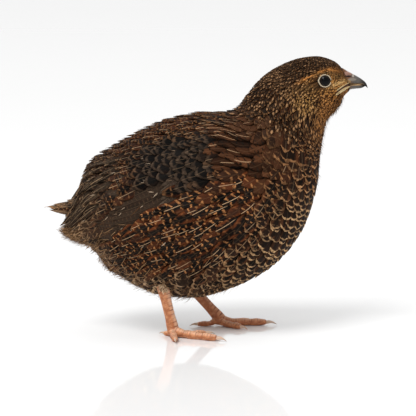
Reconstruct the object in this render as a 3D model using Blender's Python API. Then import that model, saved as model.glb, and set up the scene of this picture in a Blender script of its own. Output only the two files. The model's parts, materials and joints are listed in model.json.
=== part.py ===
"""A coturnix quail standing at life size, as a still model in its main parts.

The bird faces +X, its left side is +Y and it stands on z = 0.  Sizes are in millimetres
and are turned into metres when a mesh is made.
"""

import math
from collections import namedtuple

import bmesh
import bpy
import numpy as np

METRES = 0.001
GAP = 0.3
LEFT, RIGHT = 1, -1
SIDES = {"left": LEFT, "right": RIGHT}

# The body is one smooth form from the rump to the root of the bill.  Each section runs
# straight from a point on the back to a point on the belly, both given as (x, z), and
# has its half width at the share of its depth called widest.
Section = namedtuple("Section", "back belly half_width widest")
BODY = {
    "rump end": Section((-76.6, 58.6), (-76.6, 58.6), 0.0, 0.50),
    "rump": Section((-69.2, 75.6), (-73.4, 51.4), 10.5, 0.48),
    "loin": Section((-62.6, 92.6), (-61.0, 46.2), 19.8, 0.48),
    "vent": Section((-46.8, 103.5), (-48.8, 33.0), 27.2, 0.50),
    "legs": Section((-26.9, 113.7), (-27.4, 21.4), 32.2, 0.51),
    "belly": Section((-7.0, 119.0), (-2.7, 19.2), 34.5, 0.52),
    "keel": Section((6.2, 119.7), (22.2, 27.5), 34.5, 0.53),
    "breast": Section((13.8, 120.6), (40.3, 39.6), 32.0, 0.54),
    "crop": Section((17.7, 123.0), (53.2, 57.1), 28.0, 0.54),
    "neck base": Section((20.4, 126.2), (60.0, 78.9), 23.5, 0.53),
    "neck": Section((23.6, 130.5), (62.2, 97.9), 18.5, 0.51),
    "nape": Section((28.9, 136.7), (64.9, 113.6), 15.0, 0.50),
    "jaw": Section((37.4, 143.1), (69.2, 119.5), 12.6, 0.50),
    "cheek": Section((48.6, 147.9), (72.5, 124.5), 11.2, 0.50),
    "eye": Section((60.0, 149.4), (74.6, 128.3), 9.6, 0.50),
    "lores": Section((68.5, 147.0), (76.6, 130.3), 7.2, 0.52),
    "bill root": Section((73.6, 143.0), (78.3, 131.6), 4.4, 0.55),
}
NECK_START = 8.6
HEAD_START = 11.4
BILL_ROOT = len(BODY) - 1
ROUND_STEPS = 28
TORSO_STEPS, NECK_STEPS, HEAD_STEPS = 24, 6, 12

# Halving a gap along a slanting section takes this much more of the step.
SLANT = 1.4
CUT_CLEAR = 1.3 * GAP

# The eyeball shows through a lid opening a little smaller than itself.
EYE_CENTRE = (63.8, 7.4, 136.8)
EYE_RADIUS = 4.1
LID_OPENING = 3.1
LID_THICKNESS = 0.62
LID_STANDS_OUT = 0.45
LID_FACES = (0.20, 1.0, 0.08)
LID_STEPS, LID_SIDES = 14, 5
SOCKET_STEPS = (12, 8)

# The folded wing is laid out on the body's side.  Its four corners are
# (place along BODY, degrees down from the middle of the back).
WRIST_LOW, WRIST_TOP = (6.3, 70.0), (6.1, 34.0)
TIP_LOW, TIP_TOP = (2.1, 132.0), (1.6, 62.0)
PAD_INNER = 0.6
PAD_EDGE = 0.8
PAD_THICK = 2.3
PAD_END = 0.66
VANE_THICK = 0.6
VANE_RIDGE = 0.22
VANE_TILT = 0.66
VANE_SUNK = 0.75
LONG_VANE = (0.0, 0.3, 0.64, 0.9, 1.0)
SHORT_VANE = (0.0, 0.45, 0.86, 1.0)
LONG_TIER = 0.3

# A vane's width as shares of its full width at places along it, with the last two for a
# blunt and for a pointed tip, and its thickness likewise.
VANE_PLACES = (0.0, 0.3, 0.64, 0.88, 1.0)
VANE_WIDTHS = (0.6, 0.93, 1.0)
BLUNT_TIP, POINTED_TIP = (0.93, 0.5), (0.7, 0.2)
VANE_THINS = ((0.0, 0.6, 1.0), (1.15, 1.0, 0.75))

# Each tier of wing feathers, from the body outwards: how many, the roots of its lowest
# and highest feathers as (along, across), its length and half width as shares of the
# wing, how far its tips stand off the wing, and how pointed they are.
Tier = namedtuple("Tier", "count low high length half_width rise pointed")
WING_TIERS = {
    "primaries": Tier(5, (0.50, 0.10), (0.44, 0.40), 0.50, 0.064, 0.5, 0.9),
    "secondaries": Tier(6, (0.38, 0.08), (0.33, 0.66), 0.42, 0.084, 1.4, 0.3),
    "tertials": Tier(3, (0.33, 0.72), (0.28, 0.92), 0.54, 0.088, 2.2, 0.3),
    "greater_coverts": Tier(6, (0.26, 0.08), (0.21, 0.87), 0.26, 0.096, 1.4, 0.2),
    "median_coverts": Tier(5, (0.14, 0.12), (0.11, 0.86), 0.21, 0.114, 1.4, 0.2),
    "lesser_coverts": Tier(4, (0.045, 0.20), (0.035, 0.80), 0.17, 0.124, 1.4, 0.2),
}

# The tail is a short roof of feathers round its own axis.
TAIL_ROOT = (-62.0, 0.0, 69.2)
TAIL_DROOP = 5.0
TAIL_LENGTH = 24.6
TAIL_HALF_WIDTHS = (9.4, 4.6)
TAIL_TOP = (4.8, 1.3)
TAIL_UNDER = (6.0, 1.0)
TAIL_CORE = (2.0, 17.0)
TAIL_FEATHERS = 8
TAIL_FEATHER_START = 10.5
TAIL_FEATHER_HALF_WIDTH = 1.9
TAIL_COVERT_HALF_WIDTH = 2.8
TAIL_ROUNDED = 0.16
TAIL_TILT = 0.75
TAIL_SPREAD = 80.0
TAIL_SUNK = 1.4

# Rows of short feathers over and under the tail feathers: how many, the middle of the
# row and its spread in degrees from the top, where the roots and tips are along the
# tail, and how far the tips stand off it.
TailRow = namedtuple("TailRow", "count middle spread start end rise")
TAIL_ROWS = {
    "upper_far": TailRow(4, 0.0, 66.0, 9.0, 18.0, 0.7),
    "upper_near": TailRow(3, 0.0, 52.0, 7.6, 13.6, 1.3),
    "under": TailRow(3, 180.0, 46.0, 12.4, 20.5, 0.0),
}

# The bill, as sections like the body's; the two halves meet at the mouth line.
BILL_UPPER = [
    Section((74.2, 142.9), (77.7, 134.25), 3.9, 0.62),
    Section((77.6, 140.6), (79.3, 134.35), 3.15, 0.64),
    Section((80.8, 139.0), (81.5, 134.4), 2.45, 0.64),
    Section((83.8, 137.2), (83.9, 134.25), 1.7, 0.60),
    Section((86.1, 135.1), (85.6, 133.5), 0.95, 0.50),
    Section((87.3, 132.3), (87.3, 132.3), 0.0, 0.50),
]
BILL_LOWER = [
    Section((77.75, 133.92), (78.65, 131.85), 3.5, 0.30),
    Section((80.6, 134.05), (80.8, 131.95), 2.75, 0.30),
    Section((83.3, 134.0), (83.6, 132.25), 1.95, 0.30),
    Section((86.0, 132.9), (86.0, 132.9), 0.0, 0.50),
]
BILL_STEPS = 14
NOSTRIL = (77.7, 3.2, 137.1)
NOSTRIL_SIZE = (1.5, 1.1, 0.5)
NOSTRIL_HOOD = (77.4, 2.0, 138.2)
NOSTRIL_HOOD_SIZE = (2.4, 1.7, 1.45)
GAPE_BACK = (70.6, 7.6, 130.3)
GAPE_FRONT = (77.6, 2.9, 134.0)
GAPE_HEIGHT = 0.45

# Each leg: the ankle, the foot joint over the palm, and the toes as
# (length on the ground, heading in degrees from +X, radius, height of the root).
Toe = namedtuple("Toe", "length heading radius root_height")
Leg = namedtuple("Leg", "ankle joint toes")
LEGS = {
    "right": Leg(
        (-23.0, -15.6, 29.0),
        (-17.4, -15.6, 5.2),
        {
            "middle": Toe(27.0, -27.0, 1.95, 3.4),
            "inner": Toe(18.5, 14.0, 1.45, 3.2),
            "outer": Toe(15.6, -84.0, 1.7, 3.2),
            "hind": Toe(6.0, 140.0, 1.3, 3.6),
        },
    ),
    "left": Leg(
        (-13.4, 14.4, 28.0),
        (7.2, 15.0, 5.0),
        {
            "middle": Toe(27.0, 2.0, 1.9, 3.6),
            "inner": Toe(16.8, -42.0, 1.7, 3.4),
            "outer": Toe(19.4, 24.0, 1.5, 3.4),
            "hind": Toe(11.8, 192.0, 1.35, 4.4),
        },
    ),
}
SHANK_ACROSS, SHANK_DEEP = 1.95, 2.55
SHANK_SIDES, SHANK_STEPS = 12, 9
CUFF_TOP, CUFF_SHARE = -0.45, 0.30
CUFF_RADIUS, CUFF_OVER = 8.0, 0.9
STUB_SHARE = 0.84
STUB_REACH, STUB_SWELL = 2.4, 1.18
PALM_HEIGHT, PALM_SIZE = 3.3, (3.3, 3.0, 2.9)
TOE_SIDES = 8
LONG_TOE, LONG_TOE_STEPS, SHORT_TOE_STEPS = 12.0, 9, 6
TOE_PADS, TOE_PAD_DEPTH = 3.0, 0.09
TOE_SETTLES = 0.42
CLAW_LENGTH = 5.2
CLAW_RADIUS = 0.98
CLAW_SIDES = 8
CLAW_END_HEIGHT = 0.28

COLOURS = {
    "plumage": ((0.075, 0.045, 0.028), 0.75),
    "crown": ((0.130, 0.080, 0.042), 0.75),
    "horn": ((0.135, 0.120, 0.110), 0.35),
    "eye": ((0.010, 0.008, 0.007), 0.05),
    "leg_skin": ((0.560, 0.250, 0.150), 0.50),
    "claw": ((0.520, 0.360, 0.260), 0.40),
}


def clear_scene():
    """Empties the startup scene, object by object."""
    for item in list(bpy.data.objects):
        bpy.data.objects.remove(item)


def material(name):
    """A plain finish of the named colour and roughness."""
    found = bpy.data.materials.get(name)
    if found:
        return found
    made = bpy.data.materials.new(name)
    made.use_nodes = True
    colour, roughness = COLOURS[name]
    shader = made.node_tree.nodes["Principled BSDF"]
    shader.inputs["Base Color"].default_value = (*colour, 1.0)
    shader.inputs["Roughness"].default_value = roughness
    shader.inputs["Metallic"].default_value = 0.0
    made.diffuse_color = (*colour, 1.0)
    return made


def unit(vectors):
    """The vectors, each made one long."""
    vectors = np.asarray(vectors, float)
    return vectors / np.linalg.norm(vectors, axis=-1, keepdims=True)


def mix(a, b, share):
    """The value that lies the given share of the way from a to b."""
    return a + (b - a) * share


def curve_through(rows, u, before=None, after=None):
    """A smooth curve (Catmull-Rom) that reaches row i at u = i."""
    rows = np.asarray(rows, float)
    first = 2 * rows[0] - rows[1] if before is None else before
    last = 2 * rows[-1] - rows[-2] if after is None else after
    rows = np.vstack([first, rows, last])
    u = np.clip(np.asarray(u, float), 0, len(rows) - 3 - 1e-9)
    i = np.floor(u).astype(int)
    t = (u - i)[..., None]
    a, b, c, d = (rows[i + k] for k in range(4))
    return b + 0.5 * t * (c - a + t * (2 * a - 5 * b + 4 * c - d + t * (3 * (b - c) + d - a)))


def as_rows(sections):
    """Sections as rows of back x, back z, belly x, belly z, half width and widest."""
    return np.array([(*s.back, *s.belly, s.half_width, s.widest) for s in sections])


def turned_over(row):
    """A section row seen from past a round end, so the curve runs smoothly through it."""
    return np.array([row[2], row[3], row[0], row[1], -row[4], row[5]])


BODY_ROWS = as_rows(BODY.values())
BEHIND_RUMP = turned_over(BODY_ROWS[1])


def section_points(rows, angle):
    """Points round the sections; the angle in radians is 0 on the back, pi/2 at the left."""
    back, belly = rows[..., 0:2], rows[..., 2:4]
    half_width, widest = rows[..., 4], rows[..., 5:6]
    centre = back + (belly - back) * widest
    c, s = np.cos(angle), np.sin(angle)
    flat = centre + np.where(c[..., None] > 0, (back - centre), (centre - belly)) * c[..., None]
    return np.stack([flat[..., 0], half_width * s, flat[..., 1]], axis=-1)


def body_at(u, angle):
    """Points of the body's form at u along BODY and the angle round it."""
    u, angle = np.broadcast_arrays(np.asarray(u, float), np.asarray(angle, float))
    return section_points(curve_through(BODY_ROWS, u, before=BEHIND_RUMP), angle)


def body_over(u, angle, rise):
    """Points that stand the given height off the body's form, along its normal."""
    step = 1e-3
    here = body_at(u, angle)
    along = body_at(np.asarray(u) + step, angle) - here
    around = body_at(u, np.asarray(angle) + step) - here
    return here + unit(np.cross(along, around)) * np.asarray(rise)[..., None]


def mesh_object(name, points, faces, finish):
    """An object of the finish from points in millimetres and faces, facing outwards."""
    mesh = bpy.data.meshes.new(name)
    mesh.from_pydata([tuple(p) for p in np.asarray(points) * METRES], [], faces)
    shape = bmesh.new()
    shape.from_mesh(mesh)
    bmesh.ops.remove_doubles(shape, verts=shape.verts, dist=1e-6)
    bmesh.ops.recalc_face_normals(shape, faces=shape.faces)
    if shape.calc_volume(signed=True) < 0:
        bmesh.ops.reverse_faces(shape, faces=shape.faces)
    shape.to_mesh(mesh)
    shape.free()
    mesh.materials.append(material(finish))
    made = bpy.data.objects.new(name, mesh)
    bpy.context.scene.collection.objects.link(made)
    return made


def loft(name, rings, finish):
    """A closed skin over rings of equal point counts; a ring of one place is a pole."""
    rings = np.asarray(rings, float)
    count, sides = rings.shape[:2]
    faces = []
    for i in range(count - 1):
        for j in range(sides):
            k = (j + 1) % sides
            a, b = i * sides + j, i * sides + k
            c, d = b + sides, a + sides
            faces += [(a, b, c), (a, c, d)]
    for start in (0, (count - 1) * sides):
        if np.ptp(rings.reshape(-1, 3)[start : start + sides], axis=0).max() > 1e-3:
            faces.append(tuple(range(start, start + sides)))
    return mesh_object(name, rings.reshape(-1, 3), faces, finish)


def smooth(item, sharp_degrees=35.0):
    """Shades the object smooth, but for its sharp edges."""
    item.data.shade_smooth()
    item.data.set_sharp_from_angle(angle=math.radians(sharp_degrees))
    return item


def largest_shell(mesh):
    """Keeps only the mesh's largest closed surface."""
    shape = bmesh.new()
    shape.from_mesh(mesh)
    left, shells = set(shape.verts), []
    while left:
        front = [left.pop()]
        shell = set(front)
        while front:
            near = {e.other_vert(v) for v in front for e in v.link_edges} & left
            left -= near
            shell |= near
            front = list(near)
        shells.append(shell)
    keep = max(shells, key=lambda s: np.ptp([v.co[:] for v in s], axis=0).prod())
    bmesh.ops.delete(shape, geom=[v for v in shape.verts if v not in keep], context="VERTS")
    bmesh.ops.triangulate(shape, faces=shape.faces)
    shape.to_mesh(mesh)
    shape.free()


def combined(item, others, operation, solver="EXACT"):
    """Applies one Boolean between the object and the others, which are then removed."""
    group = bpy.data.collections.new(item.name + "_pieces")
    for other in others:
        for holder in list(other.users_collection):
            holder.objects.unlink(other)
        group.objects.link(other)
    cut = item.modifiers.new("combine", "BOOLEAN")
    cut.operation = operation
    cut.operand_type = "COLLECTION"
    cut.collection = group
    cut.solver = solver
    bpy.context.scene.collection.children.link(group)
    bpy.context.view_layer.update()
    graph = bpy.context.evaluated_depsgraph_get()
    done = bpy.data.meshes.new_from_object(item.evaluated_get(graph))
    item.modifiers.clear()
    finish = item.data.materials[0]
    item.data = done
    done.materials.clear()
    done.materials.append(finish)
    done.polygons.foreach_set("material_index", np.zeros(len(done.polygons), np.int32))
    for other in others:
        bpy.data.objects.remove(other)
    bpy.data.collections.remove(group)
    largest_shell(done)
    return item


def body_length(name, start, end, steps, finish):
    """One length of the body between two places along it."""
    u = np.linspace(start, end, steps + 1)
    angle = np.linspace(0, 2 * math.pi, ROUND_STEPS, endpoint=False)
    return loft(name, body_at(u[:, None], angle[None, :]), finish)


def gap_along(u):
    """Half the gap as a step along BODY at u."""
    step = 0.01
    sides = (body_at(u + step, angle) - body_at(u, angle) for angle in (0.0, math.pi))
    pace = np.mean([np.linalg.norm(side) for side in sides]) / step
    return 0.5 * GAP / pace


def make_trunk():
    """The torso, neck and head lengths, parted by two thin flat cuts."""
    neck_gap = SLANT * gap_along(NECK_START)
    head_gap = SLANT * gap_along(HEAD_START)
    neck_ends = NECK_START + neck_gap, HEAD_START - head_gap
    torso = body_length("torso", 0.0, NECK_START - neck_gap, TORSO_STEPS, "plumage")
    neck = body_length("neck", *neck_ends, NECK_STEPS, "plumage")
    head = body_length("head", HEAD_START + head_gap, BILL_ROOT, HEAD_STEPS, "crown")
    return torso, neck, head


def ball(name, centre, radii, finish, segments=16, rings=9):
    """An ellipsoid with its poles along Z."""
    lat = np.linspace(0, math.pi, rings + 1)[:, None]
    lon = np.linspace(0, 2 * math.pi, segments, endpoint=False)[None, :]
    shape = np.stack(
        [np.sin(lat) * np.cos(lon), np.sin(lat) * np.sin(lon), np.cos(lat) + 0 * lon], axis=-1
    )
    return loft(name, np.asarray(centre) + shape * np.asarray(radii), finish)


def mirrored(place, side):
    """A place given for the left side, on the named side."""
    x, y, z = place
    return np.array((x, side * y, z))


def lid_ring(side):
    """The rim of the eyelids: a soft closed ring round the opening, facing as the eye does."""
    out = unit(mirrored(LID_FACES, side))
    fore = unit(np.cross((0, 0, 1.0), out))
    up = np.cross(out, fore)
    rim = math.sqrt(EYE_RADIUS**2 - LID_OPENING**2)
    around = np.linspace(0, 2 * math.pi, LID_STEPS, endpoint=False)[:, None]
    tube_angle = np.linspace(0, 2 * math.pi, LID_SIDES, endpoint=False)[None, :]
    radius = LID_OPENING + LID_THICKNESS * (1 + np.cos(tube_angle))
    stand = rim + LID_STANDS_OUT + LID_THICKNESS * (np.sin(tube_angle) - 1)
    points = (
        mirrored(EYE_CENTRE, side)
        + (radius * np.cos(around))[..., None] * fore
        + (radius * np.sin(around))[..., None] * up
        + (stand + 0 * around)[..., None] * out
    )
    count, sides = points.shape[:2]
    faces = []
    for i in range(count):
        for j in range(sides):
            k, n = (j + 1) % sides, (i + 1) % count
            a, b, c, d = i * sides + j, i * sides + k, n * sides + k, n * sides + j
            faces += [(a, b, c), (a, c, d)]
    return mesh_object("lid", points.reshape(-1, 3), faces, "crown")


def gape_cutter(side):
    """A thin wedge that cuts the mouth line from the bill back to below the eye."""
    rings = []
    for t in np.linspace(0, 1, 5):
        x, inner, z = mix(np.array(GAPE_BACK), np.array(GAPE_FRONT), t)
        z -= 0.4 * math.sin(math.pi * t)
        half = GAPE_HEIGHT * mix(0.4, 1.0, t)
        rings.append(
            [
                (x, side * inner, z),
                (x, side * (inner + 6.0), z - half),
                (x, side * (inner + 6.0), z + half),
            ]
        )
    return loft("gape", rings, "crown")


def make_head_details(head):
    """Adds the lids to the head, opens the eye sockets and cuts the mouth line."""
    combined(head, [lid_ring(side) for side in SIDES.values()], "UNION")
    cutters = []
    for side in SIDES.values():
        place = mirrored(EYE_CENTRE, side)
        cutters.append(ball("socket", place, (EYE_RADIUS + GAP,) * 3, "crown", *SOCKET_STEPS))
        cutters.append(gape_cutter(side))
    combined(head, cutters, "DIFFERENCE")
    for name, side in SIDES.items():
        smooth(ball("eye_" + name, mirrored(EYE_CENTRE, side), (EYE_RADIUS,) * 3, "eye"))
    smooth(head)


def bill_half(name, sections):
    """One half of the bill, from its root to a closed tip."""
    rows = as_rows(sections)
    u = np.append(np.linspace(0, len(rows) - 1.4, 7), len(rows) - 1)
    angle = np.linspace(0, 2 * math.pi, BILL_STEPS, endpoint=False)
    shape = curve_through(rows, u[:, None] + 0 * angle, after=turned_over(rows[-2]))
    return loft(name, section_points(shape, angle[None, :] + 0 * u[:, None]), "horn")


def bill_root_cutter():
    """A block behind the bill's root plane, which trims the nostril hoods flush."""
    root = BODY["bill root"]
    back, belly = np.array(root.back), np.array(root.belly)
    down = unit(belly - back)
    ahead = np.array((-down[1], down[0]))
    top, bottom = back - 6 * down + GAP * ahead, belly + 6 * down + GAP * ahead
    corners = [top, bottom, bottom - 6 * ahead, top - 6 * ahead]
    return loft("root_block", [[(x, y, z) for x, z in corners] for y in (-9.0, 9.0)], "horn")


def make_bill():
    """The two halves of the bill, with hooded nostrils in the upper one."""
    upper = bill_half("bill_upper", BILL_UPPER)
    hoods = [
        ball("hood", mirrored(NOSTRIL_HOOD, side), NOSTRIL_HOOD_SIZE, "horn", 10, 5)
        for side in SIDES.values()
    ]
    combined(upper, hoods, "UNION")
    cutters = [
        ball("hole", mirrored(NOSTRIL, side), NOSTRIL_SIZE, "horn", 8, 5)
        for side in SIDES.values()
    ]
    combined(upper, cutters + [bill_root_cutter()], "DIFFERENCE")
    smooth(upper)
    smooth(bill_half("bill_lower", BILL_LOWER))


def wing_place(along, across, rise, side):
    """A point on the folded wing: along from wrist to tips, across from the low edge up."""
    low = [mix(a, b, along) for a, b in zip(WRIST_LOW, TIP_LOW)]
    top = [mix(a, b, along) for a, b in zip(WRIST_TOP, TIP_TOP)]
    u, degrees = (mix(a, b, across) for a, b in zip(low, top))
    return body_over(u, side * np.radians(degrees), rise)


def wing_height(along, across):
    """How high the wing's flesh stands over the body, before the feathers."""
    along, across = np.broadcast_arrays(np.asarray(along, float), np.asarray(across, float))
    ends = np.sqrt(np.clip(1 - (along / PAD_END) ** 4, 0, 1))
    front = np.sqrt(np.clip(1 - np.clip(1 - along / 0.14, 0, 1) ** 2, 0, 1))
    edges = np.sqrt(np.clip(1 - (2 * across - 1) ** 4, 0, 1))
    return PAD_INNER + PAD_EDGE + (PAD_THICK - PAD_EDGE) * ends * front * edges


def wing_pad(side):
    """The wing's own flesh and bone: a plate with soft edges, under its feathers."""
    along = np.linspace(0.0, PAD_END, 8)
    across = np.linspace(0.0, 1.0, 8)
    rings = []
    for a in along:
        share = a / PAD_END
        inset = 0.22 * (2 * share - 1) ** 6
        place = mix(0.03 + inset, 0.97 - inset, across)
        over = wing_place(a, place, wing_height(a, place), side)
        under = wing_place(a, place, PAD_INNER + 0 * place, side)
        rings.append(np.vstack([over, under[::-1]]))
    return loft("pad", rings, "plumage")


def vane_mesh(rings):
    """A blade's closed skin from rings of three upper and three under points.

    The upper and under faces are split alike, so that a thin curved blade never crosses
    itself.
    """
    count, sides = rings.shape[:2]
    faces = []
    for i in range(count - 1):
        for j in range(sides):
            k = (j + 1) % sides
            a, b = i * sides + j, i * sides + k
            c, d = b + sides, a + sides
            faces += [(a, b, c), (a, c, d)] if j < 3 else [(a, b, d), (b, c, d)]
    for start in (0, (count - 1) * sides):
        s = [start + n for n in range(sides)]
        faces += [(s[0], s[1], s[4], s[5]), (s[1], s[2], s[3], s[4])]
    return mesh_object("vane", rings.reshape(-1, 3), faces, "plumage")


def vane_rings(place, along, middle, half_width, height, pointed, tilt):
    """Rings of a tapering vane, ridged along its shaft and raised on one edge.

    place(along, across, rise) puts a point on the form that the feather lies on.
    """
    t = (along - along[0]) / (along[-1] - along[0])
    ends = mix(np.array(BLUNT_TIP), np.array(POINTED_TIP), pointed)
    fullness = np.interp(t, VANE_PLACES, (*VANE_WIDTHS, *ends))
    thick = VANE_THICK * np.interp(t, *VANE_THINS)
    ring = []
    for over in (0.5, -0.5):
        for edge in (-1, 0, 1) if over > 0 else (1, 0, -1):
            lift = tilt * edge if edge else VANE_RIDGE
            across = middle + edge * half_width * fullness
            ring.append(place(along, across, height + lift + over * thick))
    return np.stack(ring, axis=1)


def wing_feathers(tier, side):
    """One tier of the wing's feathers, each on top of the one below it."""

    def place(along, across, rise):
        return wing_place(along, across, rise, side)

    t = np.array(LONG_VANE if tier.length > LONG_TIER else SHORT_VANE)
    feathers = []
    for n in range(tier.count):
        share = n / (tier.count - 1)
        start, middle = (mix(a, b, share) for a, b in zip(tier.low, tier.high))
        length = tier.length * (1 + 0.05 * math.sin(2.1 * n + 9 * tier.length))
        along = start + length * t
        height = wing_height(along, middle) + mix(-VANE_SUNK, tier.rise, t)
        shape = (middle, tier.half_width, height, tier.pointed, -VANE_TILT)
        feathers.append(vane_mesh(vane_rings(place, along, *shape)))
    return feathers


def make_wing(name, side):
    """A folded wing: its pad with every tier of feathers fused on by their roots."""
    feathers = [f for tier in WING_TIERS.values() for f in wing_feathers(tier, side)]
    wing = wing_pad(side)
    wing.name = "wing_" + name
    smooth(combined(wing, feathers, "UNION", "MANIFOLD"))


def tail_place(along, around, rise):
    """A point over the tail's form: along in millimetres, around in degrees from the top."""
    places = (np.asarray(v, float) for v in (along, around, rise))
    along, around, rise = np.broadcast_arrays(*places)
    share = np.clip(along / TAIL_LENGTH, 0, 1)
    angle = np.radians(around)
    top = mix(*TAIL_TOP, share)
    under = mix(*TAIL_UNDER, share**2)
    up = (np.where(np.cos(angle) > 0, top, under) + rise) * np.cos(angle)
    out = (mix(*TAIL_HALF_WIDTHS, share) + rise) * np.sin(angle)
    droop = math.radians(TAIL_DROOP)
    x, y, z = TAIL_ROOT
    return np.stack(
        [
            x - along * math.cos(droop) - up * math.sin(droop),
            y + out,
            z - along * math.sin(droop) + up * math.cos(droop),
        ],
        axis=-1,
    )


def tail_feather(start, end, degrees, half_width, rise, pointed=0.5):
    """One tail feather from its root to its tip, lying on the tail's form."""
    t = np.array(SHORT_VANE)
    along = mix(start, end, t)
    half = np.degrees(half_width / mix(*TAIL_HALF_WIDTHS, along / TAIL_LENGTH))
    outwards = math.copysign(1.0, 180 - degrees) * math.copysign(1.0, degrees)
    shape = (degrees, half, mix(-TAIL_SUNK, rise, t), pointed, outwards * TAIL_TILT)
    return vane_mesh(vane_rings(tail_place, along, *shape))


def make_tail():
    """The tail: a core with the tail feathers and their upper and under coverts."""
    along = np.linspace(*TAIL_CORE, 4)
    around = np.linspace(0, 360, 12, endpoint=False)
    inset = np.linspace(-0.8, -1.6, 4)
    core = loft("tail", [tail_place(a, around, r) for a, r in zip(along, inset)], "plumage")
    feathers = []
    for n in range(TAIL_FEATHERS):
        share = 2 * n / (TAIL_FEATHERS - 1) - 1
        tip = TAIL_LENGTH * (1 - TAIL_ROUNDED * share**2)
        ends = (TAIL_FEATHER_START, tip)
        degrees = share * TAIL_SPREAD
        feathers.append(tail_feather(*ends, degrees, TAIL_FEATHER_HALF_WIDTH, 0.0))
    for row in TAIL_ROWS.values():
        for n in range(row.count):
            share = 2 * n / (row.count - 1) - 1
            degrees = row.middle + share * row.spread
            ends = (row.start, mix(row.end, row.start, TAIL_ROUNDED * share**2))
            shape = (TAIL_COVERT_HALF_WIDTH, row.rise, 0.2)
            feathers.append(tail_feather(*ends, degrees, *shape))
    combined(core, feathers, "UNION", "MANIFOLD")
    smooth(combined(core, [torso_cutter(3.0)], "DIFFERENCE", "MANIFOLD"))


def torso_cutter(end):
    """The rear of the torso, a gap larger all round, for cutting what grows from it."""
    u = np.concatenate([[0.04, 0.12, 0.28, 0.5, 0.75], np.linspace(1.0, end, int(4 * end))])
    angle = np.linspace(0, 2 * math.pi, 2 * ROUND_STEPS, endpoint=False)
    rings = body_over(u[:, None], angle[None, :], np.full((1, 1), CUT_CLEAR))
    pole = np.broadcast_to(body_at(0.0, 0.0) - (CUT_CLEAR, 0, 0), rings[:1].shape)
    return loft("torso_cutter", np.concatenate([pole, rings]), "plumage")


def tube(name, path, across, deep, sides, finish, side_axis, pole=False):
    """A round form along a path, with its half widths across and deep at each point."""
    path = np.asarray(path, float)
    ahead = unit(np.gradient(path, axis=0))
    side = unit(side_axis - ahead * (ahead @ np.asarray(side_axis, float))[:, None])
    up = np.cross(ahead, side)
    angle = np.linspace(0, 2 * math.pi, sides, endpoint=False)[None, :, None]
    rings = (
        path[:, None]
        + np.asarray(across)[:, None, None] * np.cos(angle) * side[:, None]
        + np.asarray(deep)[:, None, None] * np.sin(angle) * up[:, None]
    )
    if pole:
        rings[-1] = path[-1]
    return loft(name, rings, finish)


def shank_line(leg, share):
    """A point on the line from the ankle to the foot joint."""
    return mix(np.array(leg.ankle), np.array(leg.joint), np.asarray(share, float)[..., None])


def make_thigh(name, leg):
    """The feathered cuff where the leg leaves the belly."""
    share = np.linspace(CUFF_TOP, CUFF_SHARE, 7)
    fade = np.linspace(0, 1, 7) ** 0.8
    radius = mix(CUFF_RADIUS, SHANK_DEEP + CUFF_OVER, fade)
    line = shank_line(leg, share)
    finish = (SHANK_SIDES, "plumage", (0, 1.0, 0))
    cuff = tube("thigh_" + name, line, 0.92 * radius, radius, *finish)
    smooth(combined(cuff, [torso_cutter(7.0)], "DIFFERENCE"))


def make_shank(name, leg):
    """The bare shank between the cuff and the foot."""
    length = np.linalg.norm(np.subtract(leg.joint, leg.ankle))
    start, end = CUFF_SHARE + GAP / length, STUB_SHARE - GAP / length
    t = np.linspace(0, 1, SHANK_STEPS)
    waist = 1.06 - 0.14 * np.sin(math.pi * t) - 0.06 * t
    line = shank_line(leg, mix(start, end, t))
    finish = (SHANK_SIDES, "leg_skin", (0, 1.0, 0))
    smooth(tube("shank_" + name, line, SHANK_ACROSS * waist, SHANK_DEEP * waist, *finish))


def toe_path(leg, toe, share):
    """The toe's middle line: down from the palm, then level along the ground."""
    share = np.asarray(share, float)
    heading = math.radians(toe.heading)
    reach = toe.length * share
    settle = np.clip(1 - share / TOE_SETTLES, 0, 1) ** 1.6
    height = mix(toe.radius * 0.9, toe.root_height, settle)
    x, y, _ = leg.joint
    x, y = x + reach * math.cos(heading), y + reach * math.sin(heading)
    return np.stack([x, y, height], axis=-1)


def make_foot(name, leg):
    """The palm with its four toes, cut flat where it stands, and the claws."""
    pieces = []
    for toe_name, toe in leg.toes.items():
        steps = LONG_TOE_STEPS if toe.length > LONG_TOE else SHORT_TOE_STEPS
        share = np.linspace(0.0, 1.0, steps)
        pads = 1 + TOE_PAD_DEPTH * np.cos(2 * math.pi * (share * TOE_PADS - 0.35))
        taper = toe.radius * mix(1.12, 0.80, share) * pads
        taper[-1] *= 0.80
        heading = math.radians(toe.heading)
        across = (-math.sin(heading), math.cos(heading), 0.0)
        path = toe_path(leg, toe, share)
        finish = (TOE_SIDES, "leg_skin", across)
        pieces.append(tube("toe", path, taper, 1.05 * taper, *finish))
        make_claw(f"claw_{name}_{toe_name}", path[-1], toe, heading)
    x, y, _ = leg.joint
    pieces.append(ball("palm", (x, y, PALM_HEIGHT), PALM_SIZE, "leg_skin", 14, 8))
    length = np.linalg.norm(np.subtract(leg.joint, leg.ankle))
    line = shank_line(leg, np.linspace(STUB_SHARE, 1.0 + STUB_REACH / length, 4))
    swell = np.linspace(1.0, STUB_SWELL, 4)
    finish = (SHANK_SIDES, "leg_skin", (0, 1.0, 0))
    foot = tube("foot_" + name, line, SHANK_ACROSS * swell, SHANK_DEEP * swell, *finish)
    combined(foot, pieces, "UNION")
    corners = [(-60, -60), (60, -60), (60, 60), (-60, 60)]
    floor = loft("floor", [[(cx, cy, h) for cx, cy in corners] for h in (-9.0, 0.0)], "claw")
    smooth(combined(foot, [floor], "DIFFERENCE"))


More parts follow.
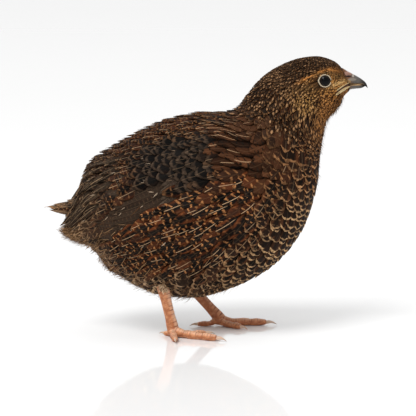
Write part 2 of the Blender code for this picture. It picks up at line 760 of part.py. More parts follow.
def make_claw(name, toe_end, toe, heading):
    """A claw: a short horn that leaves the toe's end and curves to the ground."""
    size = min(1.0, 0.62 + 0.015 * toe.length)
    t = np.linspace(0, 1, 6)
    reach = GAP + CLAW_LENGTH * size * t
    arch = 0.22 * np.sin(math.pi * t) - (toe_end[2] - CLAW_END_HEIGHT) * t**2.2
    ahead = np.stack([reach * math.cos(heading), reach * math.sin(heading), arch], axis=-1)
    radius = CLAW_RADIUS * size * (1 - 0.96 * t**1.25)
    finish = (CLAW_SIDES, "claw", (-math.sin(heading), math.cos(heading), 0.0))
    smooth(tube(name, toe_end + ahead, 0.85 * radius, radius, *finish, pole=True))


def main():
    """Makes every part of the bird."""
    clear_scene()
    torso, neck, head = make_trunk()
    smooth(torso)
    smooth(neck)
    make_head_details(head)
    make_bill()
    for name, side in SIDES.items():
        make_wing(name, side)
    make_tail()
    for name, leg in LEGS.items():
        make_thigh(name, leg)
        make_shank(name, leg)
        make_foot(name, leg)


main()
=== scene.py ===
# %% [markdown]
# # A coturnix quail, feather by feather
#
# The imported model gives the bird's true outline in plain solids.  This lesson dresses it:
# one skin in place of the flesh, a coat of small separate feathers that follow the lie of
# the real ones, long feathers on the wings and tail, and then the eyes, bill, legs, claws
# and a plain studio.  Every shape is a formula on a grid of two numbers, worked out with
# numpy for the whole grid at once.

# %% Load the fixed frame
import json
import math

import bpy
import numpy as np
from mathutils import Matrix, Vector

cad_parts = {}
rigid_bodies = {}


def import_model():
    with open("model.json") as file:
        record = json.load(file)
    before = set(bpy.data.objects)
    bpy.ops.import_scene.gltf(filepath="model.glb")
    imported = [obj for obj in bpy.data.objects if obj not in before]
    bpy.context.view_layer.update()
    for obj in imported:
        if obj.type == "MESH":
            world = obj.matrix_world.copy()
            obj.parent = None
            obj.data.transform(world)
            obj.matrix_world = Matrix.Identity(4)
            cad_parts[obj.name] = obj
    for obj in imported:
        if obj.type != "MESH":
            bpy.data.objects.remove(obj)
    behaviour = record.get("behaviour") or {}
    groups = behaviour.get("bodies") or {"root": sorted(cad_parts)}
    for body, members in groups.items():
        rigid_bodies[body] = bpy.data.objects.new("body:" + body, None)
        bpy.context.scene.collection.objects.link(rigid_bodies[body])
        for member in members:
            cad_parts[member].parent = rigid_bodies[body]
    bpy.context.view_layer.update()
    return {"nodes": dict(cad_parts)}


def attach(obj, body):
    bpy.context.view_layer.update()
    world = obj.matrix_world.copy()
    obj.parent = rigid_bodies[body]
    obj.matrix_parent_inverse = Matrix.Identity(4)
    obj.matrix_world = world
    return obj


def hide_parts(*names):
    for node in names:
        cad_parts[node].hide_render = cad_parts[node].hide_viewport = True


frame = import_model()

NODES = frame["nodes"]
MM = 0.001
SIDES = {"left": 1, "right": -1}
print("nodes in the frame:", len(NODES))

# %% [markdown]
# ## Small tools for shapes
#
# Three tools come back in every step: a blend between two values, a soft step from 0 to 1,
# and a smooth curve through rows of numbers.  A spline object could do the last one too,
# but a formula can be asked for a million places at once.

# %% Blends, steps and curves


def mix(a, b, share):
    """a plus the given share of the way from a to b."""
    return a + (b - a) * share


def soft_step(value, low, high):
    """0 below low, 1 above high, and between them 3t^2 - 2t^3 of the share t."""
    t = np.clip((value - low) / (high - low), 0, 1)
    return t * t * (3 - 2 * t)


def unit(vectors):
    """Each vector divided by its own length."""
    return vectors / np.maximum(np.linalg.norm(vectors, axis=-1, keepdims=True), 1e-12)


def stacked(*parts):
    """Arrays of one shape side by side, as the last axis of one array."""
    return np.stack(parts, axis=-1)


def column(values):
    """The values one under another, so that each goes with a row of a grid."""
    return np.asarray(values)[:, None]


def whole_turn(steps):
    """Angles at even steps round a circle, one step short of the first again."""
    return np.linspace(0, 2 * math.pi, steps, endpoint=False)


def curve_through(rows, u, before):
    """Catmull-Rom: a cubic on each span, whose slope at a row joins the rows either side."""
    rows = np.vstack([before, rows, 2 * rows[-1] - rows[-2]])
    u = np.clip(u, 0, len(rows) - 3 - 1e-9)
    i = np.floor(u).astype(int)
    t = (u - i)[..., None]
    a, b, c, d = (rows[i + k] for k in range(4))
    cubic = 3 * (b - c) + d - a
    return b + 0.5 * t * (c - a + t * (2 * a - 5 * b + 4 * c - d + t * cubic))


# %% [markdown]
# ## The form of the body
#
# The body is one form from the rump to the root of the bill, the same that the solids
# were made from.  Each row is a section: a point on the back, a point on the belly, the
# half width, and where down the section it is widest.  Two numbers name any place on it:
# u, the place along the rows, and the angle round the section, 0 on the back.

# %% The body's sections and places on it
BODY = np.array([
    (-76.6, 58.6, -76.6, 58.6, 0.0, 0.50),
    (-69.2, 75.6, -73.4, 51.4, 10.5, 0.48),
    (-62.6, 92.6, -61.0, 46.2, 19.8, 0.48),
    (-46.8, 103.5, -48.8, 33.0, 27.2, 0.50),
    (-26.9, 113.7, -27.4, 21.4, 32.2, 0.51),
    (-7.0, 119.0, -2.7, 19.2, 34.5, 0.52),
    (6.2, 119.7, 22.2, 27.5, 34.5, 0.53),
    (13.8, 120.6, 40.3, 39.6, 32.0, 0.54),
    (17.7, 123.0, 53.2, 57.1, 28.0, 0.54),
    (20.4, 126.2, 60.0, 78.9, 23.5, 0.53),
    (23.6, 130.5, 62.2, 97.9, 18.5, 0.51),
    (28.9, 136.7, 64.9, 113.6, 15.0, 0.50),
    (37.4, 143.1, 69.2, 119.5, 12.6, 0.50),
    (48.6, 147.9, 72.5, 124.5, 11.2, 0.50),
    (60.0, 149.4, 74.6, 128.3, 9.6, 0.50),
    (68.5, 147.0, 76.6, 130.3, 7.2, 0.52),
    (73.6, 143.0, 78.3, 131.6, 4.4, 0.55),
])
BILL_ROOT = len(BODY) - 1.0
LOOSE_END = 0.42


def section_place(rows, angle):
    """Half an ellipse above the widest line and half below it, across a slanting section."""
    back, belly, half_width, widest = rows[..., 0:2], rows[..., 2:4], rows[..., 4], rows[..., 5:6]
    centre = back + (belly - back) * widest
    c, s = np.cos(angle)[..., None], np.sin(angle)
    flat = centre + np.where(c > 0, back - centre, centre - belly) * c
    return stacked(flat[..., 0], half_width * s, flat[..., 1])


def body_at(u, angle):
    """The body's place at (u, angle); behind LOOSE_END it runs straight on, as tips do."""
    u, angle = np.broadcast_arrays(np.asarray(u, float), np.asarray(angle, float))
    over_end = np.array([*BODY[1, 2:4], *BODY[1, 0:2], -BODY[1, 4], BODY[1, 5]])
    held = np.maximum(u, LOOSE_END)
    here = section_place(curve_through(BODY, held, over_end), angle)
    ahead = section_place(curve_through(BODY, held + 0.01, over_end), angle)
    return here + (ahead - here) * ((u - held) / 0.01)[..., None]


print("bill root at", body_at(BILL_ROOT, 0.0).round(1), "mm")

# %% [markdown]
# ## Where the wing lies
#
# A folded wing lies flat on the bird's side, so it is a four-cornered patch of the same
# two numbers.  Going from (u, angle) back to a place on the wing needs the patch's inverse,
# which a few rounds of Newton's method find.  The wing's flesh lifts the form a little.

# %% The wing's patch and how much it lifts the body
WRIST_LOW, WRIST_TOP = np.array((6.3, 70.0)), np.array((6.1, 34.0))
TIP_LOW, TIP_TOP = np.array((2.1, 132.0)), np.array((1.6, 62.0))
WING_LIFT = 2.3
NEWTON_ROUNDS = 5


def wing_to_body(along, across):
    """Bilinear blend of the four corners: along from wrist to tips, across upwards."""
    along, across = np.asarray(along)[..., None], np.asarray(across)[..., None]
    place = mix(mix(WRIST_LOW, TIP_LOW, along), mix(WRIST_TOP, TIP_TOP, along), across)
    return place[..., 0], np.radians(place[..., 1])


def body_to_wing(u, angle):
    """The inverse of wing_to_body, by five Newton steps from the patch's middle."""
    target = stacked(u, np.degrees(np.abs(angle)))
    along, across = np.full(u.shape, 0.5), np.full(u.shape, 0.5)
    for _ in range(NEWTON_ROUNDS):
        a, c = along[..., None], across[..., None]
        low, top = mix(WRIST_LOW, TIP_LOW, a), mix(WRIST_TOP, TIP_TOP, a)
        off = target - mix(low, top, c)
        da = mix(TIP_LOW - WRIST_LOW, TIP_TOP - WRIST_TOP, c)
        dc = top - low
        det = da[..., 0] * dc[..., 1] - da[..., 1] * dc[..., 0]
        along = along + (off[..., 0] * dc[..., 1] - off[..., 1] * dc[..., 0]) / det
        across = across + (da[..., 0] * off[..., 1] - da[..., 1] * off[..., 0]) / det
    return along, across


def wing_lift(u, angle):
    """How far the folded wing raises the body: a low table with wide soft edges."""
    along, across = body_to_wing(u, angle)
    ends = soft_step(along, -0.16, 0.10) * (1 - soft_step(along, 0.62, 1.0))
    edges = soft_step(across, -0.18, 0.16) * (1 - soft_step(across, 0.84, 1.2))
    return WING_LIFT * ends * edges


def form_at(u, angle, height=0.0):
    """The body's place, wing included, raised by height along the outward normal."""
    step = 2e-3
    here = body_at(u, angle)
    along = body_at(u + step, angle) - here
    around = body_at(u, angle + step) - here
    normal = unit(np.cross(along, around))
    return here + normal * (wing_lift(np.maximum(u, LOOSE_END), angle) + height)[..., None]


print("wing middle is raised by", wing_lift(np.array([4.0]), np.array([1.3])).round(2), "mm")

# %% [markdown]
# ## Getting a grid into a mesh
#
# Blender takes whole arrays with foreach_set, which is far quicker than adding points one
# by one.  A tube-like grid is closed with one pole at each end, so that no hole is left.

# %% Mesh helpers


def linked(item):
    """Puts the item into the scene and gives it back."""
    bpy.context.scene.collection.objects.link(item)
    return item


def new_mesh(name, points, corners, starts):
    """A mesh from its points, the faces' corner numbers and where each face starts."""
    mesh = bpy.data.meshes.new(name)
    mesh.vertices.add(len(points))
    mesh.vertices.foreach_set("co", points.astype(np.float32).ravel())
    mesh.loops.add(len(corners))
    mesh.loops.foreach_set("vertex_index", corners.astype(np.int32))
    mesh.polygons.add(len(starts))
    mesh.polygons.foreach_set("loop_start", starts.astype(np.int32))
    mesh.update(calc_edges=True)
    return mesh


def new_piece(name, points, corners, starts, material, maps=None, values=None):
    """A piece of the bird from points in mm, with its maps and its own numbers."""
    mesh = new_mesh(name, points * MM, corners, starts)
    mesh.polygons.foreach_set("use_smooth", np.ones(len(starts), bool))
    for map_name, places in (maps or {}).items():
        layer = mesh.uv_layers.new(name=map_name)
        layer.data.foreach_set("uv", places[corners].astype(np.float32).ravel())
    for value_name, numbers in (values or {}).items():
        layer = mesh.attributes.new(value_name, "FLOAT_VECTOR", "POINT")
        layer.data.foreach_set("vector", numbers.astype(np.float32).ravel())
    mesh.materials.append(material)
    piece = linked(bpy.data.objects.new(name, mesh))
    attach(piece, "root")
    return piece


def tube_faces(rings, sides):
    """Faces of rings joined in turn, with a first and a last pole: fans, quads, fans."""
    j = np.arange(sides)
    k = (j + 1) % sides
    last = 1 + (rings - 1) * sides
    first_fan = stacked(0 * j, 1 + j, 1 + k)
    i = 1 + column(np.arange(rings - 1)) * sides
    quads = stacked(i + j, i + sides + j, i + sides + k, i + k).reshape(-1, 4)
    last_fan = stacked(last + j, 0 * j + last + sides, last + k)
    corners = np.concatenate([first_fan.ravel(), quads.ravel(), last_fan.ravel()])
    sizes = np.concatenate([np.full(sides, 3), np.full(len(quads), 4), np.full(sides, 3)])
    return corners, np.concatenate([[0], np.cumsum(sizes)[:-1]])


def with_poles(grid, last=None):
    """The grid's rings as one list of points, with a pole at each end: the ring's middle."""
    last = grid[-1].mean(axis=0) if last is None else last
    return np.vstack([grid[0].mean(axis=0), grid.reshape(-1, grid.shape[-1]), last])


def outward(corners, starts, points):
    """The corners, turned round if the closed shape's signed volume is negative."""
    ends = np.append(starts[1:], len(corners))
    sizes = ends - starts
    volume = 0.0
    for size in np.unique(sizes):
        face = corners[starts[sizes == size][:, None] + np.arange(size)]
        for n in range(1, size - 1):
            a, b, c = points[face[:, 0]], points[face[:, n]], points[face[:, n + 1]]
            volume += np.einsum("ij,ij->i", a, np.cross(b, c)).sum()
    if volume > 0:
        return corners
    turned = corners.copy()
    for size in np.unique(sizes):
        at = starts[sizes == size][:, None] + np.arange(size)
        turned[at] = corners[at[:, ::-1]]
    return turned


def tube_piece(name, grid, material, values=None, maps=None, last=None):
    """A closed piece over a grid of rings; each value is a grid of its own."""
    points = with_poles(grid, last)
    corners, starts = tube_faces(*grid.shape[:2])
    corners = outward(corners, starts, points)
    values = {key: with_poles(numbers) for key, numbers in (values or {}).items()}
    maps = {key: with_poles(numbers) for key, numbers in (maps or {}).items()}
    return new_piece(name, points, corners, starts, material, maps, values)


# %% [markdown]
# ## Node trees from short formulas
#
# A procedural finish is a formula too.  Here a node's output can stand in a sum like a
# number, and each sign in the sum writes one node, so that a pattern reads like the
# sentence that describes it.

# %% Helpers for materials


class Term:
    """A node's output that can stand in a formula, where each sign writes a math node."""

    def __init__(self, pen, socket):
        """Keeps the node's output and the finish that the node belongs to."""
        self.pen, self.socket = pen, socket

    def __add__(self, other):
        """This term plus the other."""
        return self.pen.math("ADD", self, other)

    def __sub__(self, other):
        """This term minus the other."""
        return self.pen.math("SUBTRACT", self, other)

    def __rsub__(self, number):
        """A number minus this term."""
        return self.pen.math("SUBTRACT", number, self)

    def __mul__(self, other):
        """This term times the other."""
        return self.pen.math("MULTIPLY", self, other)

    def __truediv__(self, other):
        """This term divided by the other."""
        return self.pen.math("DIVIDE", self, other)

    def __abs__(self):
        """This term without its sign."""
        return self.pen.math("ABSOLUTE", self)


class Finish:
    """A new Principled material and a pen for its nodes."""

    def __init__(self, name, roughness, specular=0.5, **sockets):
        """The shader with its plain numbers; a socket's spaces are written as underscores."""
        self.material = bpy.data.materials.new(name)
        self.material.use_nodes = True
        self.nodes = self.material.node_tree.nodes
        self.links = self.material.node_tree.links
        self.shader = self.nodes["Principled BSDF"]
        self.shader.inputs["Roughness"].default_value = roughness
        self.shader.inputs["Specular IOR Level"].default_value = specular
        for socket, value in sockets.items():
            self.shader.inputs[socket.replace("_", " ")].default_value = value

    def put(self, socket, value):
        """Links a term to the socket, or sets a plain number or colour there."""
        if isinstance(value, Term):
            self.links.new(value.socket, socket)
        else:
            socket.default_value = (*value, 1.0) if isinstance(value, tuple) else value

    def fill(self, node, inputs, output=0):
        """Puts a value into each of the node's inputs that is named, and gives an output."""
        for key, value in dict(inputs).items():
            self.put(node.inputs[key], value)
        return Term(self, node.outputs[output])

    def split(self, whole):
        """A vector's output as a term, followed by its x, y and z."""
        parts = self.nodes.new("ShaderNodeSeparateXYZ")
        self.links.new(whole, parts.inputs[0])
        return tuple(Term(self, socket) for socket in (whole, *parts.outputs))

    def math(self, operation, *values, clamp=False):
        """One math node over the values, held between 0 and 1 if clamp is true."""
        node = self.nodes.new("ShaderNodeMath")
        node.operation, node.use_clamp = operation, clamp
        return self.fill(node, enumerate(values))

    def step(self, value, low, high, start=0.0, end=1.0):
        """Soft step: Map Range with a smooth curve from low..high to start..end."""
        node = self.nodes.new("ShaderNodeMapRange")
        node.interpolation_type = "SMOOTHSTEP"
        return self.fill(node, enumerate((value, low, high, start, end)))

    def colour(self, share, a, b, blend="MIX"):
        """Two colours blended by the share, or b multiplied into a by it."""
        node = self.nodes.new("ShaderNodeMix")
        node.data_type, node.blend_type = "RGBA", blend
        return self.fill(node, {0: share, 6: a, 7: b}, 2)

    def layers(self, colour, *coats):
        """The colour with others laid over it in turn, each by its own share."""
        for share, over in coats:
            colour = self.colour(share, colour, over)
        return colour

    def shaded(self, colour, amount):
        """The colour times a number."""
        return self.colour(1.0, colour, self.join(amount, amount, amount), "MULTIPLY")

    def values(self, name):
        """A piece's own numbers: its vector as a colour, and its three parts."""
        node = self.nodes.new("ShaderNodeAttribute")
        node.attribute_name = name
        return self.split(node.outputs["Vector"])

    def place(self, map_name=None):
        """Object coordinates in millimetres, or the piece's own map: whole, x, y and z."""
        if map_name:
            node = self.nodes.new("ShaderNodeUVMap")
            node.uv_map = map_name
            return self.split(node.outputs[0])
        source = self.nodes.new("ShaderNodeTexCoord").outputs["Object"]
        scale = self.nodes.new("ShaderNodeVectorMath")
        scale.operation = "SCALE"
        self.fill(scale, {0: Term(self, source), "Scale": 1 / MM})
        return self.split(scale.outputs[0])

    def join(self, x, y, z):
        """Three terms or numbers as one vector."""
        return self.fill(self.nodes.new("ShaderNodeCombineXYZ"), enumerate((x, y, z)))

    def noise(self, place, scale, detail=2.0, roughness=0.5):
        """Soft noise round 0.5 whose waves are one over the scale long."""
        node = self.nodes.new("ShaderNodeTexNoise")
        return self.fill(node, {"Vector": place, "Scale": scale, "Detail": detail,
                                "Roughness": roughness})

    def cell_edges(self, place, scale):
        """How far the place is from the edge of its cell; scale cells lie in one unit."""
        node = self.nodes.new("ShaderNodeTexVoronoi")
        node.feature = "DISTANCE_TO_EDGE"
        return self.fill(node, {"Vector": place, "Scale": scale}, "Distance")

    def base(self, colour):
        """Gives the shader its colour."""
        self.put(self.shader.inputs["Base Color"], colour)

    def bump(self, height, strength, distance_mm):
        """Tilts the shading by the slope of the height."""
        normal = self.fill(self.nodes.new("ShaderNodeBump"), {
            "Height": height, "Strength": strength, "Distance": distance_mm * MM})
        self.put(self.shader.inputs["Normal"], normal)


def two_tone(name, roughness, specular, scale, detail, dark, light):
    """A finish whose colour wanders between two by soft noise."""
    pen = Finish(name, roughness, specular)
    pen.base(pen.colour(pen.noise(pen.place()[0], scale, detail), dark, light))
    return pen


# %% [markdown]
# ## The markings
#
# A quail's feather is dark, with up to four kinds of mark: a cream line along its shaft,
# rusty bars across it, a buff fringe round its tip, and a pale spot at its end.  Which of
# them shows, and in what colour, changes over the body.  So each region has one style, and
# soft weights over the side view blend the styles.  Skin and feathers ask the same
# function, so they always agree.  Painting a picture would do it too, but a formula holds
# on both sides and at any size.

# %% Styles of each region
# ground and mark in thousandths, then in hundredths: shaft line, bars, fringe, tip spot,
# where the tip starts to round, width of the fringe, and how rusty the feather's sides are
STYLE_ROWS = {
    "back": ((8, 5, 4), (270, 120, 45), (85, 50, 35, 0, 60, 9, 60)),
    "mantle": ((64, 23.5, 9.5), (8, 6, 4), (80, 92, 0, 0, 60, 10, 68)),
    "coverts": ((4.5, 3.8, 3.3), (58, 37, 24), (14, 0, 84, 0, 71, 14, 25)),
    "rump": ((13, 8, 6), (200, 110, 54), (65, 35, 55, 0, 58, 12, 50)),
    "flank": ((7, 5, 4), (350, 150, 54), (95, 95, 8, 0, 62, 5, 80)),
    "breast": ((11, 6, 4), (540, 325, 160), (6, 0, 100, 0, 86, 6.8, 30)),
    "upper_breast": ((9, 5, 3), (360, 170, 70), (10, 0, 90, 0, 84, 6, 35)),
    "belly": ((15, 9, 6), (560, 375, 215), (5, 0, 100, 0, 85, 8, 25)),
    "vent": ((40, 22, 12), (480, 290, 155), (35, 25, 75, 0, 60, 11, 40)),
    "neck": ((14, 8, 5), (330, 160, 66), (5, 0, 40, 20, 62, 13, 42)),
    "fore_neck": ((12, 6, 4), (370, 165, 55), (10, 0, 90, 6, 78, 8, 30)),
    "crown": ((20, 12, 7), (240, 115, 46), (0, 0, 45, 18, 60, 16, 55)),
    "brow": ((340, 130, 32), (560, 250, 70), (0, 0, 55, 0, 55, 30, 0)),
    "face": ((50, 20, 6), (560, 265, 70), (0, 0, 88, 0, 58, 24, 20)),
    "lores": ((60, 32, 12), (260, 145, 50), (0, 0, 60, 0, 55, 30, 20)),
    "ear": ((26, 13, 6), (560, 300, 95), (0, 0, 75, 25, 62, 18, 40)),
    "forehead": ((50, 20, 8), (260, 105, 32), (0, 0, 60, 0, 55, 22, 30)),
    "stripe": ((75, 40, 16), (300, 160, 58), (0, 0, 60, 6, 55, 20, 20)),
    "throat": ((60, 22, 7), (540, 230, 66), (15, 0, 95, 6, 64, 22, 50)),
    "chin": ((420, 240, 85), (640, 450, 215), (0, 0, 60, 0, 55, 30, 10)),
}
STYLES = {
    name: (np.array(ground) / 1000, np.array(mark) / 1000, np.array(amounts) / 100)
    for name, (ground, mark, amounts) in STYLE_ROWS.items()
}
CREAM = (0.520, 0.330, 0.185)
WING_EDGE_X, WING_EDGE_Z = (-60.0, -40.0, -21.0, 16.0), (46.0, 61.0, 75.0, 92.0)
BROW_X = (40.0, 46.0, 51.0, 56.0, 60.3, 66.4, 74.0)
BROW_Z = (129.6, 133.9, 136.9, 139.7, 141.9, 142.9, 141.4)


def near(x, z, place, reach):
    """1 at the place in the side view, falling to 0 as a bell with the two reaches."""
    return np.exp(-(((x - place[0]) / reach[0]) ** 2) - ((z - place[1]) / reach[1]) ** 2)


def breast_front(x, z):
    """How many mm a place of the side view lies in front of a slanting line there."""
    return (x - 33.0) * 0.80 - (z - 64.0) * 0.60


def markings(x, z, angle):
    """Blends the styles in turn, each over the last, by weights in the side view (mm)."""
    down = np.degrees(np.abs(angle))
    front = breast_front(x, z)
    brow = np.interp(x, BROW_X, BROW_Z)
    above_edge = z - np.interp(x, WING_EDGE_X, WING_EDGE_Z)
    weights = [
        ("flank", soft_step(down, 54, 76)),
        ("coverts", soft_step(down, 26, 40) * soft_step(above_edge, -2, 5)
         * (1 - soft_step(x, 0, 16)) * soft_step(x, -48, -34)),
        ("mantle", soft_step(near(x, z, (27, 104), (23, 17)), 0.26, 0.40)),
        ("rump", soft_step(-x, 42, 58)),
        ("breast", soft_step(front, -12, 7)),
        ("upper_breast", np.maximum(soft_step(front, -12, 7) * soft_step(z, 66, 88),
                                    soft_step(front, -25, -14) * soft_step(z, 88, 98))),
        ("belly", soft_step(-z, -40, -26) * soft_step(-x, -30, 24)),
        ("vent", soft_step(-x - 0.35 * (z - 50), 50, 61)),
        ("neck", soft_step(0.45 * x + z - 0.5 * np.maximum(x - 44, 0), 117, 132)),
        ("fore_neck", soft_step(x - 0.30 * (z - 110), 52, 62) * soft_step(z, 96, 110)),
        ("crown", soft_step(z - 0.62 * x, 99.0, 104.0) * soft_step(x + 0.5 * (z - 128), 22, 32)),
        ("ear", near(x, z, (54, 125.5), (8.5, 7.5))),
        ("throat", soft_step(x - 0.15 * (z - 120), 57, 65) * soft_step(z, 106, 116)),
        ("face", near(x, z, (64.0, 135.0), (11.0, 6.5))),
        ("stripe", near(x, z, (54.0, 133.0), (6.5, 1.6))),
        ("crown", soft_step(z - brow, 0.9, 2.2) * soft_step(x, 36, 44)),
        ("forehead", near(x, z, (72.0, 141.5), (4.5, 2.6))),
        ("lores", near(x, z, (63.5, 141.0), (5.5, 1.1))),
        ("brow", np.exp(-(((z - brow + 0.1) / 0.62) ** 2)) * soft_step(x, 44, 54)
         * (1 - 0.7 * soft_step(x, 68, 72))),
        ("lores", near(x, z, (70.8, 139.0), (2.8, 1.7))),
        ("chin", np.exp(-(((x - 71) * 0.94 + (z - 135.6) * 0.34) / 5.2) ** 2
                        - (((z - 135.6) * 0.94 - (x - 71) * 0.34) / 1.05) ** 2)),
    ]
    parts = [np.broadcast_to(part, (*x.shape, len(part))) for part in STYLES["back"]]
    for name, weight in weights:
        share = np.clip(weight, 0, 1)[..., None]
        parts = [mix(part, new, share) for part, new in zip(parts, STYLES[name])]
    return parts


print("styles:", ", ".join(STYLES))

# %% [markdown]
# ## The plumage finish
#
# The finish draws one feather: x runs across it and y from root to tip, read from the
# piece's own map, so the pattern turns with each feather.  The amounts of each mark come
# with the feather as numbers.  Fine oblique lines for the barbs go into both the colour
# and the bump.

# %% The plumage material


def plumage_finish(name, bar_count, shaft_width, grain_scale):
    """One feather's pattern: its bars, fringe, shaft line and spot laid over its ground."""
    pen = Finish(name, 0.6, 0.04)
    _, map_x, y, _ = pen.place("vane")
    x = map_x * 2.0 - 1.0
    side = abs(x)
    ground, *_ = pen.values("ground")
    mark, *_ = pen.values("mark")
    _, shaft, bars, fringe = pen.values("amounts")
    _, spot, seed, shade = pen.values("extras")
    _, round_from, edge_width, rust = pen.values("form")
    own = pen.join(seed * 37.0 + map_x, y * 1.6, seed)
    blotch = pen.noise(own, 4.0, 3.0) - 0.5
    lines = pen.join((y - side * 0.45) * grain_scale, x * 0.45, seed * 9.0)
    barbs = pen.noise(lines, 2.2, 2.0)

    wave = y * bar_count - side * 0.25 + (blotch * 0.55 + seed)
    reach = pen.step(side, 0.12, 0.2) * pen.step(side + blotch, 0.95, 0.7)
    bar = pen.step(pen.math("PINGPONG", wave, 0.5), 0.35, 0.42)
    bar = bar * (reach * pen.step(y, 0.25, 0.5)) * bars

    arc = pen.math("SQRT", pen.math("SUBTRACT", 1.0, side * side, clamp=True))
    inset = (1.0 - round_from) * arc + round_from - y + blotch * (edge_width * 0.6)
    edge = pen.step(inset / edge_width, 1.15, 0.65) * (fringe * pen.step(y, 0.4, 0.6))

    line = pen.step(side, shaft_width, 0.4 * shaft_width) * (shaft * pen.step(y, 0.42, 0.56))
    off_side, off_end = side * 1.7, (y - 0.88) * 4.4
    drop = pen.math("SQRT", off_side * off_side + off_end * off_end)
    drop = pen.step(drop, 0.75, 0.35) * spot

    rusty = pen.colour(1.0, mark, (0.31, 0.20, 0.17), "MULTIPLY")
    marked = pen.shaded(mark, pen.step(blotch, -0.12, 0.12, 0.55, 1.15))
    body = pen.layers(
        pen.shaded(ground, shade),
        (pen.step(blotch * 0.9 + side, 0.30, 0.75) * rust, rusty),
        (bar, marked), (edge, marked), (drop, pen.colour(0.30, mark, CREAM)), (line, CREAM))
    pen.base(pen.shaded(body, pen.step(barbs, 0.25, 0.75, 0.55, 1.35)))
    pen.bump(barbs + line * 0.8, 0.30, 0.08)
    return pen.material


PLUMAGE = plumage_finish("plumage_body", 5.0, 0.06, 30.0)
SMALL_PLUMAGE = plumage_finish("plumage_small", 3.0, 0.15, 10.0)
FLIGHT = plumage_finish("plumage_flight", 19.0, 0.05, 60.0)

# %% [markdown]
# ## One skin under the coat
#
# Under the feathers a bird has one unbroken skin.  Here it takes the place of the torso,
# neck, head and thigh solids, a coat's depth inside them, so that no seam shows between
# feathers.  A second way would be to shrink the solids, but they end in flat cuts.

# %% The skin
DEPTH_U = (0.0, 1.0, 3.0, 7.5, 9.0, 10.5, 12.0, 13.5, 15.0, 16.0)
DEPTH_MM = (3.4, 3.6, 4.0, 3.9, 3.2, 2.3, 1.5, 1.1, 0.8, 0.25)
SKIN_END, SKIN_RINGS, SKIN_SIDES = 0.45, 190, 96


def coat_depth(u):
    """How deep the coat is over the skin: a straight blend between measured places."""
    return np.interp(u, DEPTH_U, DEPTH_MM)


def unwrap(u, angle):
    """The skin's own unwrap: u along one side of the map, the angle along the other."""
    u, angle = np.broadcast_arrays(u, angle)
    return 0.02 + 0.96 * np.stack([u / BILL_ROOT, angle / (2 * math.pi) + 0.5], axis=-1)


skin_pen = Finish("skin_under_coat", 0.8, 0.2)
skin_place, *_ = skin_pen.place()
skin_patch = skin_pen.step(skin_pen.noise(skin_place, 0.6, 3.0), 0.55, 0.75, 0.0, 0.5)
skin_fleck = skin_pen.step(skin_pen.noise(skin_place, 0.9, 4.0), 0.3, 0.7, 0.45, 1.1)
skin_colour = skin_pen.colour(
    skin_patch, skin_pen.values("ground")[0], skin_pen.values("mark")[0])
skin_pen.base(skin_pen.shaded(skin_colour, skin_fleck))
skin_pen.bump(skin_pen.noise(skin_place, 2.0, 3.0), 0.4, 0.3)

skin_u = column(np.linspace(SKIN_END, BILL_ROOT, SKIN_RINGS)) + np.zeros((1, SKIN_SIDES))
skin_angle = np.linspace(-math.pi, math.pi, SKIN_SIDES, endpoint=False) + 0 * skin_u
skin_grid = form_at(skin_u, skin_angle, -coat_depth(skin_u))
skin_colours, skin_marks, _ = markings(skin_grid[..., 0], skin_grid[..., 2], skin_angle)
skin = tube_piece(
    "skin", skin_grid, skin_pen.material,
    values={"ground": skin_colours, "mark": skin_marks},
    maps={"OFBake": unwrap(skin_u, skin_angle)})
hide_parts("torso", "neck", "head", "thigh_left", "thigh_right")
print("skin faces:", len(skin.data.polygons))

# %% [markdown]
# ## One feather, made many times
#
# A feather is a thin closed blade: a root, some rings and a tip.  Each ring is a low arch
# of points with one more point under it.  The outline widens like a spoon and ends in half
# an ellipse.  The whole coat is worked out in one array with a row for each feather, and
# each has only a few dozen faces.

# %% The blade


def blade_grid(ring_places, tops):
    """Along t, across x and under (0 or 1) for a blade's points, and its faces."""
    ring = np.append(np.linspace(-1, 1, tops), 0.0)
    under = np.append(np.zeros(tops), 1.0)
    t = np.concatenate([[0.0], np.repeat(ring_places, tops + 1), [1.0]])
    x = np.concatenate([[0.0], np.tile(ring, len(ring_places)), [0.0]])
    under = np.concatenate([[0.0], np.tile(under, len(ring_places)), [0.0]])
    return t, x, under, *tube_faces(len(ring_places), tops + 1)


def outline(t, point, round_from):
    """Half width: a smooth rise to 1, then half an ellipse that is sharper with point."""
    rise = mix(0.34, 1.0, soft_step(t, 0.0, 0.6))
    tip = np.clip((t - round_from) / (1 - round_from), 0, 1)
    return rise * np.clip(1 - tip ** (2.0 - point), 0, 1) ** (0.5 + 0.5 * point)


